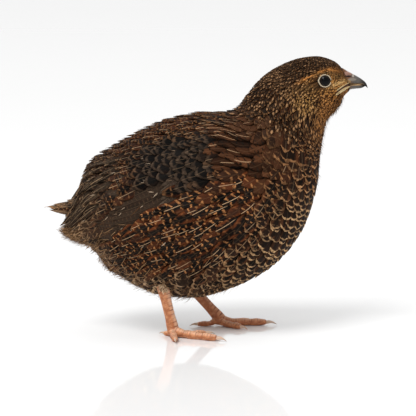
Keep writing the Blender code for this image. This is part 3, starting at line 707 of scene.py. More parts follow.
def feathers_piece(name, grid, place, shape, look, roots, material):
    """Every feather of a piece at once.

    place(t, across, height) gives points in mm for arrays with a row per feather.  shape
    holds half_width, point, root and tip heights, bend, arch, thick, roll and ragged; look
    holds ground, mark, amounts, extras and form; roots are places on the skin's unwrap,
    and every feather has a small patch there.
    """
    t, x, under, corners, starts = grid
    count = len(roots)
    t, x, under = (np.broadcast_to(v, (count, len(v))) for v in (t, x, under))
    wide = outline(t, shape["point"], look["form"][:, 0:1])
    across = x * wide * shape["half_width"]
    height = mix(shape["root"], shape["tip"], t ** shape["bend"])
    height = height + shape["arch"] * (1 - x * x) * np.sin(math.pi * np.clip(t, 0, 1)) ** 0.5
    height = height + shape["roll"] * x * t
    height = height - under * shape["thick"] * (0.2 + 0.8 * np.sin(math.pi * t))
    torn = chance.uniform(-1, 0.35, t.shape) * shape["ragged"] * soft_step(t, 0.62, 0.95)
    points = place(t + torn, across, height).reshape(-1, 3)
    step = np.arange(count)[:, None] * t.shape[1]
    every_corner = (corners[None, :] + step).ravel()
    every_start = (starts[None, :] + np.arange(count)[:, None] * len(corners)).ravel()
    vane = stacked(0.5 + 0.5 * x * wide, t).reshape(-1, 2)
    bake = roots[:, None, :] + BAKE_PATCH * stacked(0.5 * x * wide, t - 0.5)
    values = {key: np.repeat(rows, t.shape[1], axis=0) for key, rows in look.items()}
    maps = {"vane": vane, "OFBake": np.clip(bake.reshape(-1, 2), 0.001, 0.999)}
    piece = new_piece(
        name, points, every_corner, every_start, material, maps, values)
    print(f"{name}: {count} feathers, {len(every_start)} faces")
    return piece


chance = np.random.default_rng(7)
BAKE_PATCH = 0.003
FINE_BLADE = blade_grid(np.array([0.14, 0.4, 0.64, 0.8, 0.9, 0.96, 0.99]), 7)
PLAIN_BLADE = blade_grid(np.array([0.25, 0.6, 0.85, 0.97]), 3)
MIDDLE_BLADE = blade_grid(np.array([0.2, 0.5, 0.76, 0.9, 0.98]), 4)
WISP_BLADE = blade_grid(np.array([0.3, 0.7]), 2)

# %% [markdown]
# ## The lie of the coat
#
# Feathers point from the bill to the tail, and on the flanks a little downwards.  A
# direction on the body has to become a direction in (u, angle).  The two tangents of the
# form give that: their dot products make a two by two system, solved for all feathers.

# %% Directions on the body
# x and z in the side view (mm), and how many degrees below level a feather points there
LIE = np.array([
    (-8, 86, 17), (0, 69, 30), (-21, 61, 27), (-26, 37, 42), (-4, 45, 40), (19, 57, 42),
    (32, 72, 46), (27, 53, 59), (37, 41, 70), (49, 89, 88), (50, 75, 85), (19, 112, 40),
    (20, 98, 26), (33, 108, 50), (-20, 112, 10), (-27, 103, 13), (-52, 88, 42), (-51, 58, 50),
    (-70, 66, 18), (10, 30, 45), (-40, 70, 34), (-66, 80, 38), (-40, 98, 26),
])
LIE_REACH = 12.0


def lie_at(x, z):
    """Degrees below level: the mean of LIE, each weighed by a bell of its distance."""
    far = (x[:, None] - LIE[:, 0]) ** 2 + (z[:, None] - LIE[:, 1]) ** 2
    weight = np.exp(-far / (2 * LIE_REACH**2)) + 1e-9
    return np.radians((weight * LIE[:, 2]).sum(axis=1) / weight.sum(axis=1))


def tangents(u, angle):
    """The body's place, and the mm that it moves for each unit of u and of the angle."""
    step = 1e-3
    here = body_at(u, angle)
    ahead, beside = body_at(u + step, angle), body_at(u, angle + step)
    return here, (ahead - here) / step, (beside - here) / step


def rates(u, angle, turn):
    """Steps in (u, angle) for one mm along the feather and one mm across it."""
    here, pu, pa = tangents(u, angle)
    normal = unit(np.cross(pu, pa))
    below = lie_at(here[:, 0], here[:, 2])
    wanted = stacked(-np.cos(below), 0 * below, -np.sin(below))
    wanted = mix(wanted, -unit(pu), soft_step(u, 8.3, 10.3)[:, None])
    along = unit(wanted - normal * (wanted * normal).sum(-1, keepdims=True))
    along = unit(along + np.cross(normal, along) * turn[:, None])
    across = np.cross(normal, along)
    uu, ua, aa = (pu * pu).sum(-1), (pu * pa).sum(-1), (pa * pa).sum(-1)
    det = uu * aa - ua * ua

    def solve(direction):
        """Cramer's rule for the two by two system of one direction."""
        du, da = (pu * direction).sum(-1), (pa * direction).sum(-1)
        return (du * aa - da * ua) / det, (da * uu - du * ua) / det

    return solve(along), solve(across)


def on_body(u0, angle0, length, turn):
    """A place function for feathers that lie on the body from their roots at (u0, angle0)."""
    (along_u, along_a), (across_u, across_a) = rates(u0, angle0, turn)

    def place(t, across, height):
        """The root plus t of the length along the lie plus the mm across it."""
        s = t * length[:, None]
        u = u0[:, None] + s * along_u[:, None] + across * across_u[:, None]
        angle = angle0[:, None] + s * along_a[:, None] + across * across_a[:, None]
        return form_at(u, angle, height)

    return place


# %% [markdown]
# ## Where each feather grows
#
# Feathers grow in rows.  On the neck and head, lines of one angle run along the form,
# closer together where it is thin, and each line gets roots at even steps, half a step
# later on every second line, so the feathers get small there with no extra rule.  On the
# body the feathers lie at a slant to such lines, and rows along them would look skewed.
# There two numbers are spread over the form, one that counts steps along the lie and one
# that counts feathers side by side, and a root stands wherever both are whole.  That
# gives the scalloped rows of the breast.

# %% Roots of the coat
EYE = np.array((63.3, 7.4, 136.8))
LEAST_SPACE = 0.34
FIELD, FINE_FIELD, SOLVER_ROUNDS, NEAREST = (110, 90), (1500, 1100), 900, 0.09


def step_ratio(x, z, u):
    """Step along a line over the space between lines: long on the flanks, short in front."""
    body = mix(3.1, 2.75, soft_step(breast_front(x, z), -12, 8))
    body = mix(body, 2.1, soft_step(z, 82, 96) * (1 - soft_step(x, 10, 30)))
    return mix(body, 2.7, soft_step(u, 8.5, 10.0))


def grow(first, last, lines):
    """Roots between two places along the body on the given number of lines."""
    u = np.linspace(first, last, 500)
    found_u, found_angle, found_space = [], [], []
    for n in range(lines):
        angle = -math.pi + 2 * math.pi * (n + 0.5) / lines
        line = body_at(u, angle)
        space = np.linalg.norm(body_at(u, angle + math.pi / lines)
                               - body_at(u, angle - math.pi / lines), axis=-1)
        space = np.maximum(space, LEAST_SPACE)
        pace = np.linalg.norm(np.gradient(line, u, axis=0), axis=-1)
        pace = np.maximum(pace, 1.0) / (space * step_ratio(line[:, 0], line[:, 2], u))
        total = np.concatenate([[0], np.cumsum(0.5 * (pace[1:] + pace[:-1]) * np.diff(u))])
        marks = np.arange(0.5 * (n % 2), total[-1], 1.0)
        marks = np.clip(marks + chance.uniform(-0.10, 0.10, len(marks)), 0, total[-1])
        found_u.append(np.interp(marks, total, u))
        found_angle.append(np.full(len(marks), angle))
        found_space.append(np.interp(found_u[-1], u, space))
    u, angle, space = map(np.concatenate, (found_u, found_angle, found_space))
    angle = angle + chance.normal(0, 0.10, len(u)) * 2 * math.pi / lines
    return u, angle, space


def even_field(points, wanted):
    """A number at each grid point whose slope comes nearest the wanted one.

    For every grid edge the number should rise by the wanted slope times the edge.  The sum
    of the squared misses is least where a linear system holds, and conjugate gradients
    solve it: each round steps along a direction that undoes no earlier step.
    """
    edge_u, edge_a = np.diff(points, axis=0), np.diff(points, axis=1)
    long_u, long_a = np.linalg.norm(edge_u, axis=-1), np.linalg.norm(edge_a, axis=-1)
    rise_u = (0.5 * (wanted[1:] + wanted[:-1]) * edge_u).sum(-1)
    rise_a = (0.5 * (wanted[:, 1:] + wanted[:, :-1]) * edge_a).sum(-1)
    weight_u, weight_a = long_a.mean() / long_u, long_u.mean() / np.maximum(long_a, 0.1)

    def gather(flow_u, flow_a):
        """At each point, what flows in along the edges less what flows out."""
        total = np.zeros(points.shape[:2])
        total[1:] += flow_u
        total[:-1] -= flow_u
        total[:, 1:] += flow_a
        total[:, :-1] -= flow_a
        return total

    def pull(field):
        """The system's matrix times a field: the flow that its differences cause."""
        return gather(weight_u * np.diff(field, axis=0), weight_a * np.diff(field, axis=1))

    field = np.zeros(points.shape[:2])
    rest = gather(weight_u * rise_u, weight_a * rise_a)
    direction, size = rest.copy(), (rest * rest).sum()
    for _ in range(SOLVER_ROUNDS):
        pulled = pull(direction)
        move = size / (direction * pulled).sum()
        field += move * direction
        rest -= move * pulled
        new_size = (rest * rest).sum()
        direction = rest + new_size / size * direction
        size = new_size
    return field - field[:, 0].mean()


def grow_with_lie(first, last, lines):
    """Roots on rows that run square to the lie, every second row shifted by half a feather.

    One field counts steps along the feathers and one counts feathers side by side.  Roots
    are the places where both are whole numbers, or where the first is half way on the odd
    ones of the second.
    """
    low, high = 0.02, math.pi - 0.02
    u, angle = (part.ravel() for part in np.meshgrid(
        np.linspace(first, last, FIELD[0]), np.linspace(low, high, FIELD[1]), indexing="ij"))
    points, pu, pa = tangents(u, angle)
    (along_u, along_a), (across_u, across_a) = rates(u, angle, np.zeros(u.size))
    along = along_u[:, None] * pu + along_a[:, None] * pa
    across = across_u[:, None] * pu + across_a[:, None] * pa
    space = np.maximum(np.linalg.norm(pa, axis=-1) * 2 * math.pi / lines, LEAST_SPACE)
    chest = soft_step(breast_front(points[:, 0], points[:, 2]), -14, 6)
    chest = chest * (1 - soft_step(u, 9.5, 10.5))
    lower = soft_step(angle, 0.9, 1.4) * soft_step(u, 1.4, 2.6) * (1 - chest)
    space = mix(space, 2.35, chest) * (1 - lower) + lower * np.maximum(space, 2.9)
    step = space * step_ratio(points[:, 0], points[:, 2], u)
    grid = points.reshape(*FIELD, 3)
    steps = even_field(grid, (along / step[:, None]).reshape(grid.shape))
    feathers = even_field(grid, (across / space[:, None]).reshape(grid.shape)) + 0.5

    fine_u, fine_a = (np.linspace(0, n - 1.001, fine) for n, fine in zip(FIELD, FINE_FIELD))
    iu, ia = fine_u.astype(int), fine_a.astype(int)
    fu, fa = (fine_u - iu)[:, None], (fine_a - ia)[None]

    def finer(field):
        """The field at the finer grid's points, as a blend of its four neighbours."""
        near_u = mix(field[iu][:, ia], field[iu + 1][:, ia], fu)
        return mix(near_u, mix(field[iu][:, ia + 1], field[iu + 1][:, ia + 1], fu), fa).ravel()

    steps, feathers, space = finer(steps), finer(feathers), finer(space.reshape(FIELD))
    row = np.round(feathers).astype(int)
    shift = 0.5 * (row % 2)
    place = np.round(steps - shift).astype(int)
    miss = np.hypot(steps - shift - place, feathers - row)
    key = (row - row.min()) * 4096 + place - place.min()
    order = np.lexsort((miss, key))
    chosen = order[np.unique(key[order], return_index=True)[1]]
    chosen = chosen[miss[chosen] < NEAREST]
    found_u = mix(first, last, (chosen // FINE_FIELD[1]) / (FINE_FIELD[0] - 1))
    found_angle = mix(low, high, (chosen % FINE_FIELD[1]) / (FINE_FIELD[1] - 1))
    found_u, space = np.tile(found_u, 2), np.tile(space[chosen], 2)
    found_angle = np.concatenate([found_angle, -found_angle])
    found_angle = found_angle + chance.normal(0, 0.07, len(found_u)) * 2 * math.pi / lines
    found_u = found_u + chance.normal(0, 0.010, len(found_u))
    print(f"{len(found_u)} roots on rows square to the lie")
    return np.clip(found_u, first, last), found_angle, space


def clumps(x, z):
    """A few slow waves over the side view, so that neighbours share a lighter or darker tone."""
    waves = [(0.21, 0.13, 0.4), (-0.12, 0.24, 1.9), (0.34, -0.29, 4.1), (0.05, 0.41, 5.2)]
    return sum(np.sin(a * x + b * z + c) for a, b, c in waves) / 4


def look_of(ground, mark, amounts, spot, seed, shade, form):
    """The numbers that a feather's finish reads, each with a row per feather."""
    ground, mark, amounts, form = (
        np.broadcast_to(part, (len(seed), 3)) for part in (ground, mark, amounts, form))
    return {"ground": ground, "mark": mark, "amounts": amounts,
            "extras": stacked(spot + 0 * seed, seed, shade + 0 * seed), "form": form}


def style_of(x, z, angle, count):
    """The numbers that a feather's finish reads, with each feather's own chances."""
    stray = chance.normal(0, 2.4, (2, count)) * (x < 42)
    ground, mark, amounts = markings(x + stray[0], z + stray[1], angle)
    luck = chance.random((count, 5))
    amounts = amounts.copy()
    barred = np.clip(amounts[:, 1] + 0.12, 0, 1)
    amounts[:, 0] *= np.where(luck[:, 0] < 0.40, 0.8 + 0.4 * luck[:, 0], 0.06)
    amounts[:, 2] *= 0.6 + 0.55 * luck[:, 4]
    amounts[:, 1] *= np.where(luck[:, 2] < 0.75, 1.0, 0.15)
    chosen = 1.6 * amounts[:, 3] * (1 + 0.9 * clumps(3.1 * x + 11, 2.7 * z))
    spot = np.where(luck[:, 1] < chosen, 0.35 + 0.65 * luck[:, 2], 0.0)
    spread = mix(0.70, 1.05, soft_step(x, 44, 52))
    shade = (1 + spread * (luck[:, 3] - 0.48)) * (1 + 0.45 * clumps(x, z))
    shade *= np.where((luck[:, 3] < 0.14) & (x < 42), 0.5, 1.0)
    seed = chance.random(count)
    form = amounts[:, 4:7].copy()
    form[:, 2] *= 0.1 + 1.5 * luck[:, 2]
    warm = np.array((0.27, 0.18, 0.17)) * mark
    rusty = soft_step(chance.random(count) + 0.25 * clumps(1.7 * x, 1.7 * z), 0.62, 0.95)
    ground = mix(ground, warm, (0.85 * rusty * barred * amounts[:, 6])[:, None])
    return look_of(ground, mark, amounts[:, :3], spot, seed, shade, np.clip(form, 0, 1))


def keep(which, *arrays):
    """The rows of each array where the first one is true."""
    return tuple(array[which] for array in arrays)


print("roots are spaced by the body's own girth")

# %% [markdown]
# ## The coat of the body
#
# The body's feathers are broad and overlap like roof tiles, each root sunk to the skin and
# each tip at the coat's surface.  They leave out the rear of the wing, where long wing
# feathers lie instead, and they lie over the front and lower edge of the wing as the
# flank feathers of a live bird do.

# %% Body feathers


def under_wing_feathers(u, angle):
    """True where the folded wing's long feathers show below the coverts."""
    x, _, z = form_at(np.maximum(u, LOOSE_END), angle).T
    above_edge = z - np.interp(x, WING_EDGE_X, WING_EDGE_Z)
    return (x > -53) & (x < -3) & (above_edge > -1.0) & (above_edge < 11.5 - 0.16 * (x + 10))


def middle_at(place, count, t):
    """Where the feathers' middle lines are at the share t of their length."""
    none = np.zeros((count, 1))
    return place(none + t, none, none)[:, 0]


def coat(name, u, angle, space, blade, material, length_by, width_by, thick, point, ragged):
    """One piece of the coat: lengths and widths are shares of the space between roots."""
    count = len(u)
    place_x, _, place_z = form_at(np.maximum(u, LOOSE_END), angle).T
    long = (step_ratio(place_x, place_z, u) + 0.3) * space * length_by
    long = long * chance.uniform(0.90, 1.10, count)
    place = on_body(u, angle, long, chance.normal(0, 0.09, count))
    seen = middle_at(place, count, 0.8)
    look = style_of(seen[:, 0], seen[:, 2], angle, count)
    look["extras"][:, 0] *= soft_step(-space, -1.9, -1.4)
    blunt = soft_step(look["form"][:, 0], 0.62, 0.8)
    fluff = np.minimum(space / 2.6, 1)
    raised = mix(1, 0.35, blunt) * mix(0.55, 1, soft_step(np.abs(angle), 0.3, 0.8))
    half_width = space * width_by * mix(1, 1.16, blunt) * chance.uniform(0.94, 1.08, count)
    shape = dict(
        half_width=column(half_width), point=column(mix(point, 0.0, blunt)),
        root=column(-0.96 * coat_depth(u)),
        tip=column((0.05 + chance.gamma(1.6, 0.24, count) * raised) * fluff),
        bend=0.72, arch=column(0.20 * space), thick=column(np.minimum(thick, 0.10 * space)),
        roll=column(chance.normal(0, 0.14, count) * fluff), ragged=ragged)
    return feathers_piece(name, blade, place, shape, look, unwrap(u, angle), material)


coat_u, coat_angle, coat_space = grow_with_lie(0.55, 10.3, 106)
free = ~under_wing_feathers(coat_u, coat_angle)
coat_u, coat_angle, coat_space = keep(free, coat_u, coat_angle, coat_space)
for side_name, side in SIDES.items():
    mine = np.sign(coat_angle) == side
    coat("coat_body_" + side_name, *keep(mine, coat_u, coat_angle, coat_space),
         FINE_BLADE, PLUMAGE, 1.95, 1.15, 0.3, 0.35, 0.05)

# %% [markdown]
# ## The coat of the neck and head
#
# The same recipe gives the short feathers of the neck and the very small ones of the face.
# None may reach over the eyelids: those behind the eye start hidden under the lids and
# run away from them, and where a whole feather would touch the eye a shorter one is put.

# %% Neck and head feathers


def clear_of_eye(u, angle, length, room, parts=(0.0, 0.35, 0.7, 1.0)):
    """True where no part of the blade comes within room of the eye's middle.

    The parts are shares of its length from the root, which may hide under the lids.
    """
    place = on_body(u, angle, length, np.zeros(len(u)))
    clear = np.ones(len(u), bool)
    for t in parts:
        at = middle_at(place, len(u), t)
        clear &= np.hypot(at[:, 0] - EYE[0], at[:, 2] - EYE[2]) > room
    return clear


neck_u, neck_angle, neck_space = grow(9.9, 12.3, 118)
coat("coat_neck", neck_u, neck_angle, neck_space,
     MIDDLE_BLADE, SMALL_PLUMAGE, 2.3, 1.1, 0.2, 0.5, 0.10)
head_u, head_angle, head_space = grow(11.6, 15.95, 132)
clear = clear_of_eye(head_u, head_angle, 2.4 * 2.7 * head_space, 3.65, (0.3, 0.7, 1.0))
coat("coat_head", *keep(clear, head_u, head_angle, head_space),
     PLAIN_BLADE, SMALL_PLUMAGE, 2.4, 1.05, 0.12, 0.6, 0.08)
short = ~clear & clear_of_eye(head_u, head_angle, 1.1 * 2.7 * head_space, 3.35)
coat("coat_eye_rims", *keep(short, head_u, head_angle, head_space),
     PLAIN_BLADE, SMALL_PLUMAGE, 1.0, 1.05, 0.10, 0.5, 0.08)

# %% [markdown]
# ## The folded wing
#
# Long wing feathers are stiff, flat and in tiers: primaries lowest, then secondaries,
# tertials nearest the back, and coverts over their roots.  Each tier is a row of blades on
# the wing's patch, and each blade lies on the one below it.

# %% Wing feathers
# count, (along, across) of the lowest and highest root, length and half width as shares
# of the wing, tip height in mm, point, ground and mark colours, and the seven amounts
WING_TIERS = {
    "primaries": (9, (0.46, 0.05), (0.40, 0.44), 0.56, 0.050, -1.3, 0.7,
                  (0.032, 0.020, 0.013), (0.115, 0.062, 0.031),
                  (0.05, 0.50, 0.12, 0.0, 0.70, 0.03, 0.30)),
    "secondaries": (11, (0.34, 0.02), (0.27, 0.70), 0.46, 0.062, -0.8, 0.2,
                    (0.027, 0.017, 0.011), (0.084, 0.048, 0.027),
                    (0.10, 0.50, 0.42, 0.0, 0.72, 0.04, 0.26)),
    "tertials": (6, (0.27, 0.62), (0.22, 0.92), 0.58, 0.070, -0.5, 0.3,
                 (0.034, 0.023, 0.016), (0.110, 0.074, 0.049),
                 (0.08, 0.40, 0.45, 0.0, 0.66, 0.06, 0.40)),
    "greater_coverts": (13, (0.20, 0.04), (0.14, 0.92), 0.30, 0.058, -0.6, 0.1,
                        (0.034, 0.023, 0.016), (0.100, 0.068, 0.046),
                        (0.05, 0.40, 0.55, 0.0, 0.66, 0.10, 0.30)),
}


def wing_place_on(side, start, middle, length):
    """A place function for blades that lie along the wing's patch."""

    def place(t, across, height):
        """Along the patch by t of the length, across it, and raised by the height."""
        along = start[:, None] + t * length[:, None]
        u, angle = wing_to_body(along, middle[:, None] + across + 0.05 * (t - 1) ** 2)
        return form_at(u, side * angle, height)

    return place


def tier_look(ground, mark, amounts, count):
    """The same numbers for a whole row of feathers, with a little chance in each."""
    luck = chance.random((count, 3))
    amounts = np.tile(amounts, (count, 1))
    amounts[:, 0] *= 0.4 + luck[:, 0]
    return look_of(ground, mark, amounts[:, :3], amounts[:, 3], luck[:, 1],
                   0.72 + 0.55 * luck[:, 2], amounts[:, 4:7])


def tier_shape(count, **numbers):
    """The same numbers for a whole row of feathers, one under another."""
    return {key: number * np.ones((count, 1)) for key, number in numbers.items()}


def join_rows(rows):
    """Several dictionaries of arrays as one, row under row."""
    return {key: np.concatenate([row[key] for row in rows]) for key in rows[0]}


def wing(side_name, side):
    """One side's tiers as one piece, each tier with its roots from low to high."""
    starts, middles, lengths, shapes, looks = [], [], [], [], []
    for count, low, high, length, half, tip, point, *colours in WING_TIERS.values():
        share = np.linspace(0, 1, count)
        starts.append(mix(low[0], high[0], share))
        middles.append(mix(low[1], high[1], share))
        lengths.append(length * chance.uniform(0.95, 1.04, count))
        shapes.append(tier_shape(
            count, half_width=half, point=point, root=-2.6, tip=tip + 0.10 * column(share),
            arch=0.30, thick=0.2, roll=-0.36 * side, bend=0.7, ragged=0.015))
        looks.append(tier_look(*colours, count))
    start, middle, length = map(np.concatenate, (starts, middles, lengths))
    u, angle = wing_to_body(start, middle)
    place = wing_place_on(side, start, middle, length)
    piece = feathers_piece(
        "wing_feathers_" + side_name, FLIGHT_BLADE, place, join_rows(shapes),
        join_rows(looks), unwrap(u, side * angle), FLIGHT)
    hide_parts("wing_" + side_name)


FLIGHT_BLADE = blade_grid(np.array([0.06, 0.2, 0.36, 0.52, 0.66, 0.78, 0.88, 0.95, 0.99]), 7)
for side_name, side in SIDES.items():
    wing(side_name, side)

# %% [markdown]
# ## The long soft feathers over the rump
#
# From the shoulders, long loose feathers hang over the folded wings and the rump as far as
# the tail.  They follow the same lie as the coat, but are longer, softer and greyer.

# %% Draping feathers


def drape(side_name, side):
    """Roots scattered over a slanting patch of the back; all lie on the body's form."""
    count = 66
    far, wide = chance.random((2, count))
    u = mix(3.7 - 0.9 * (1 - wide), 1.6, far)
    angle = side * np.radians(mix(84, 30, wide) + 8 * far)
    long = chance.uniform(17, 27, count)
    place = on_body(u, angle, long, chance.normal(0, 0.12, count))
    shape = dict(
        half_width=column(chance.uniform(2.1, 3.3, count)), point=0.7, root=-3.2,
        tip=column(0.5 + chance.gamma(2.0, 0.3, count)), bend=0.55, arch=0.35,
        thick=0.2, roll=column(chance.normal(0, 0.4, count)), ragged=0.05)
    look = tier_look((0.012, 0.008, 0.005), (0.170, 0.100, 0.056),
                     (0.50, 0.15, 0.60, 0.0, 0.55, 0.06, 0.3), count)
    look["ground"] = look["ground"] * chance.uniform(0.4, 3.0, (count, 1))
    look["mark"] = look["mark"] * chance.uniform(0.2, 1.9, (count, 1))
    feathers_piece("coat_drape_" + side_name, FINE_BLADE, place, shape, look,
                   unwrap(u, angle), PLUMAGE)


for side_name, side in SIDES.items():
    drape(side_name, side)

# %% [markdown]
# ## The tail
#
# A quail's tail is short and soft, and the rump nearly hides it.  Rows of the same blades
# lie round a small axis behind the body and close to one point.  A row with high roots
# leads over from the rump, shorter coverts lie above and below, and inner rows fill the
# middle, so that the tail isn't a tube when it is seen from behind.

# %% Tail feathers
TAIL_ROOT = (-62.0, 0.0, 68.0)
TAIL_DROOP = math.radians(0.7)
TAIL_LENGTH = 24.6
# count, middle and spread in degrees, start, end, half width, rise and root height in
# mm, ground and mark in thousandths
TAIL_ROWS = {
    "under_coverts": (9, 180, 84, -7.0, 8.5, 4.4, 1.7, -1.5, (50, 28, 15), (360, 210, 110)),
    "low_coverts": (9, 180, 76, -3.0, 14.0, 4.0, 0.8, -1.5, (60, 34, 18), (360, 210, 110)),
    "lowest": (9, 180, 60, 2.0, 22.6, 3.6, 0.2, -1.5, (110, 64, 35), (260, 150, 80)),
    "inner": (9, 0, 80, 4.0, 23.0, 3.4, -1.3, -1.5, (30, 18, 11), (220, 120, 60)),
    "inner_low": (9, 180, 66, 3.0, 22.4, 3.4, -1.8, -1.5, (60, 34, 18), (240, 140, 70)),
    "core": (7, 0, 50, 3.0, 20.0, 3.4, -2.6, -1.5, (30, 18, 11), (220, 120, 60)),
    "core_low": (7, 180, 50, 3.0, 19.5, 3.4, -3.2, -1.5, (60, 34, 18), (240, 140, 70)),
    "tail": (10, 0, 80, 3.0, 25.2, 3.7, 0.3, -1.5, (22, 13, 8), (360, 180, 80)),
    "upper": (8, 0, 70, 0.0, 20.5, 3.9, 0.9, -1.5, (30, 18, 11), (240, 120, 55)),
    "bridge": (8, 0, 74, -9.0, 9.5, 4.4, 1.5, 3.2, (26, 17, 11), (200, 110, 55)),
    "nearest": (7, 0, 62, -3.0, 13.0, 4.0, 1.5, -1.5, (26, 17, 11), (150, 80, 40)),
}
TAIL_AMOUNTS = (0.35, 0.9, 0.6, 0.3, 0.62, 0.10, 0.5)
TAIL_WIDE, TAIL_NARROW = 9.4, 3.4


def tail_place(along, around, rise):
    """A flattened tube that narrows towards its tip, in mm along and degrees from the top."""
    share = np.clip(along / TAIL_LENGTH, 0, 1)
    angle = np.radians(around)
    rise = rise * mix(1.0, 0.3, share**2)
    top, under = mix(5.0, 0.1, share**1.2), mix(6.3, 0.1, share**1.7)
    up = (np.where(np.cos(angle) > 0, top, under) + rise) * np.cos(angle)
    out = (mix(TAIL_WIDE, 0.9, share) + rise) * np.sin(angle)
    x = TAIL_ROOT[0] - along * math.cos(TAIL_DROOP) - up * math.sin(TAIL_DROOP)
    z = TAIL_ROOT[2] - along * math.sin(TAIL_DROOP) + up * math.cos(TAIL_DROOP)
    return stacked(x, out, z)


tail_rows, tail_shapes, tail_looks = [], [], []
for count, middle, spread, start, end, half, rise, root, *colours in TAIL_ROWS.values():
    share = np.linspace(-1, 1, count)
    tip = mix(end, start, 0.17 * np.abs(share) ** 1.4) * chance.uniform(0.97, 1.01, count)
    tail_rows.append(stacked(middle + spread * share, start + 0 * share, tip))
    tail_shapes.append(tier_shape(
        count, half_width=half, point=0.55, root=root, tip=rise, arch=0.25, thick=0.2,
        roll=0.2 * np.sign(column(share)) * (1 if middle else -1), bend=0.8, ragged=0.03))
    tail_looks.append(tier_look(*(np.array(c) / 1000 for c in colours), TAIL_AMOUNTS, count))
tail_rows = np.concatenate(tail_rows)


def on_tail(t, across, height):
    """A place function for blades that lie along the tail, each from its start to its tip."""
    along = mix(tail_rows[:, 1:2], tail_rows[:, 2:3], t)
    girth = mix(TAIL_WIDE, TAIL_NARROW, np.clip(along / TAIL_LENGTH, 0, 1))
    return tail_place(along, tail_rows[:, 0:1] - np.degrees(across / girth), height)


tail_u = np.full(len(tail_rows), 0.9)
tail = feathers_piece(
    "tail_feathers", FLIGHT_BLADE, on_tail, join_rows(tail_shapes), join_rows(tail_looks),
    unwrap(tail_u, np.radians(tail_rows[:, 0]) * 0.9),
    plumage_finish("plumage_tail", 7.0, 0.07, 30.0))
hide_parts("tail")

# %% [markdown]
# ## Down at the vent and belly
#
# Behind the legs the feathers are loose and end in wisps.  Narrow blades that stand out a
# little give the soft lower edge, shorter ones the ragged line of the throat, and a few
# pale ones the loose flecks that stand up over the rump and the folded wing.  Hair
# curves would be simpler, but they are not solid and the exported model would lose them.

# %% Wisps


def wisps(name, u, angle, long, lift, dark, pale, wide=1.0):
    """Narrow blades of two colours' blend that end a little above the coat."""
    count = len(u)
    place = on_body(u, angle, long, chance.normal(0, 0.35, count))
    half_width = chance.uniform(0.10, 0.26, count) * wide * (0.4 + 0.07 * long)
    shape = dict(
        half_width=column(half_width), point=0.9, root=column(-0.7 * coat_depth(u)),
        tip=column(lift * np.minimum(chance.gamma(2.0, 0.5, count), 2.6)), bend=0.9,
        arch=0.03, thick=0.1, roll=0.0, ragged=0.0)
    ground = mix(np.array(dark), np.array(pale), chance.random((count, 1)) ** 1.6)
    look = look_of(ground, ground * 1.5, (0, 0, 0), 0.0, chance.random(count), 1.0,
                   (0.5, 0.1, 0.0))
    feathers_piece(name, WISP_BLADE, place, shape, look, unwrap(u, angle), SMALL_PLUMAGE)


def low_angles(count, spread):
    """Angles round the belly's middle, as a bell of the given spread in degrees."""
    sides = chance.choice([-1, 1], count)
    return sides * np.radians(180 - np.abs(chance.normal(0, spread, count)))


WISPS = 4200
down_u = chance.uniform(0.85, 6.0, WISPS)
down_angle = low_angles(WISPS, 32)
rear = down_u < 1.7
down_angle = np.where(rear, chance.choice([-1, 1], WISPS) * np.radians(
    180 - chance.uniform(0, 66, WISPS)), down_angle)
kept = chance.random(WISPS) < np.interp(down_u, (0.5, 3.0, 4.5, 6.0), (1.0, 0.9, 0.6, 0.25))
down_u, down_angle = keep(kept, down_u, down_angle)
wisps("coat_down", down_u, down_angle, chance.uniform(5.0, 12.0, len(down_u)), 1.5,
      (0.100, 0.044, 0.018), (0.500, 0.290, 0.140))
TUFTS = 900
tuft_u = chance.uniform(9.0, 14.2, TUFTS)
tuft_angle = low_angles(TUFTS, 30)
clear = clear_of_eye(tuft_u, tuft_angle, np.full(TUFTS, 6.0), 5.5)
clear &= (tuft_u < 12.4) | (np.abs(tuft_angle) > np.radians(138))
tuft_u, tuft_angle = keep(clear, tuft_u, tuft_angle)
wisps("coat_throat", tuft_u, tuft_angle, chance.uniform(2.8, 5.4, len(tuft_u)), 0.95,
      (0.050, 0.020, 0.008), (0.400, 0.175, 0.057), 1.9)
FLECKS = 110
fleck_u = chance.uniform(1.2, 4.8, FLECKS)
fleck_angle = chance.choice([-1, 1], FLECKS) * np.radians(chance.uniform(38, 112, FLECKS))
wisps("coat_flecks", fleck_u, fleck_angle, chance.uniform(3.5, 7.0, FLECKS), 1.1,
      (0.160, 0.100, 0.060), (0.620, 0.470, 0.330), 2.4)

# %% [markdown]
# ## Eyes and eyelids
#
# The eye is a wet dark ball, with a rounder cornea over a near-black iris.  It sits in a
# pale bare ring of lids that draws out to a corner behind and a smaller one in front.

# %% Eyes
EYE_RADIUS = 4.1
EYE_OUT = unit(np.array((0.12, 1.0, 0.08)))

eye_finish = Finish("eye_wet", 0.05, 0.10)
_, eye_off, *_ = eye_finish.values("off_axis")
eye_finish.base(eye_finish.colour(
    eye_finish.step(eye_off, 0.46, 0.54), (0.0010, 0.0008, 0.0008), (0.006, 0.003, 0.002)))


def eye_axes(side):
    """Out of the eye, forwards and up, as three unit vectors at right angles."""
    out = EYE_OUT * (1, side, 1)
    fore = unit(np.cross((0, 0, 1.0), out)) * side
    return out, fore, np.cross(out, fore) * side


def eye_ball(side_name, side):
    """A sphere whose front swells by a bell of the angle from its axis."""
    out, fore, up = eye_axes(side)
    off = column(np.linspace(0.06, math.pi - 0.06, 30))
    turn = whole_turn(40)[None, :]
    radius = (EYE_RADIUS - 0.05) * (1 + 0.05 * np.exp(-((off / 0.55) ** 2))) + 0 * turn
    grid = EYE * (1, side, 1) + radius[..., None] * (
        np.cos(off)[..., None] * out
        + (np.sin(off) * np.cos(turn))[..., None] * fore
        + (np.sin(off) * np.sin(turn))[..., None] * up)
    piece = tube_piece("eyeball_" + side_name, grid, eye_finish.material,
                       values={"off_axis": stacked(*[off + 0 * turn] * 3)})
    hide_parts("eye_" + side_name)


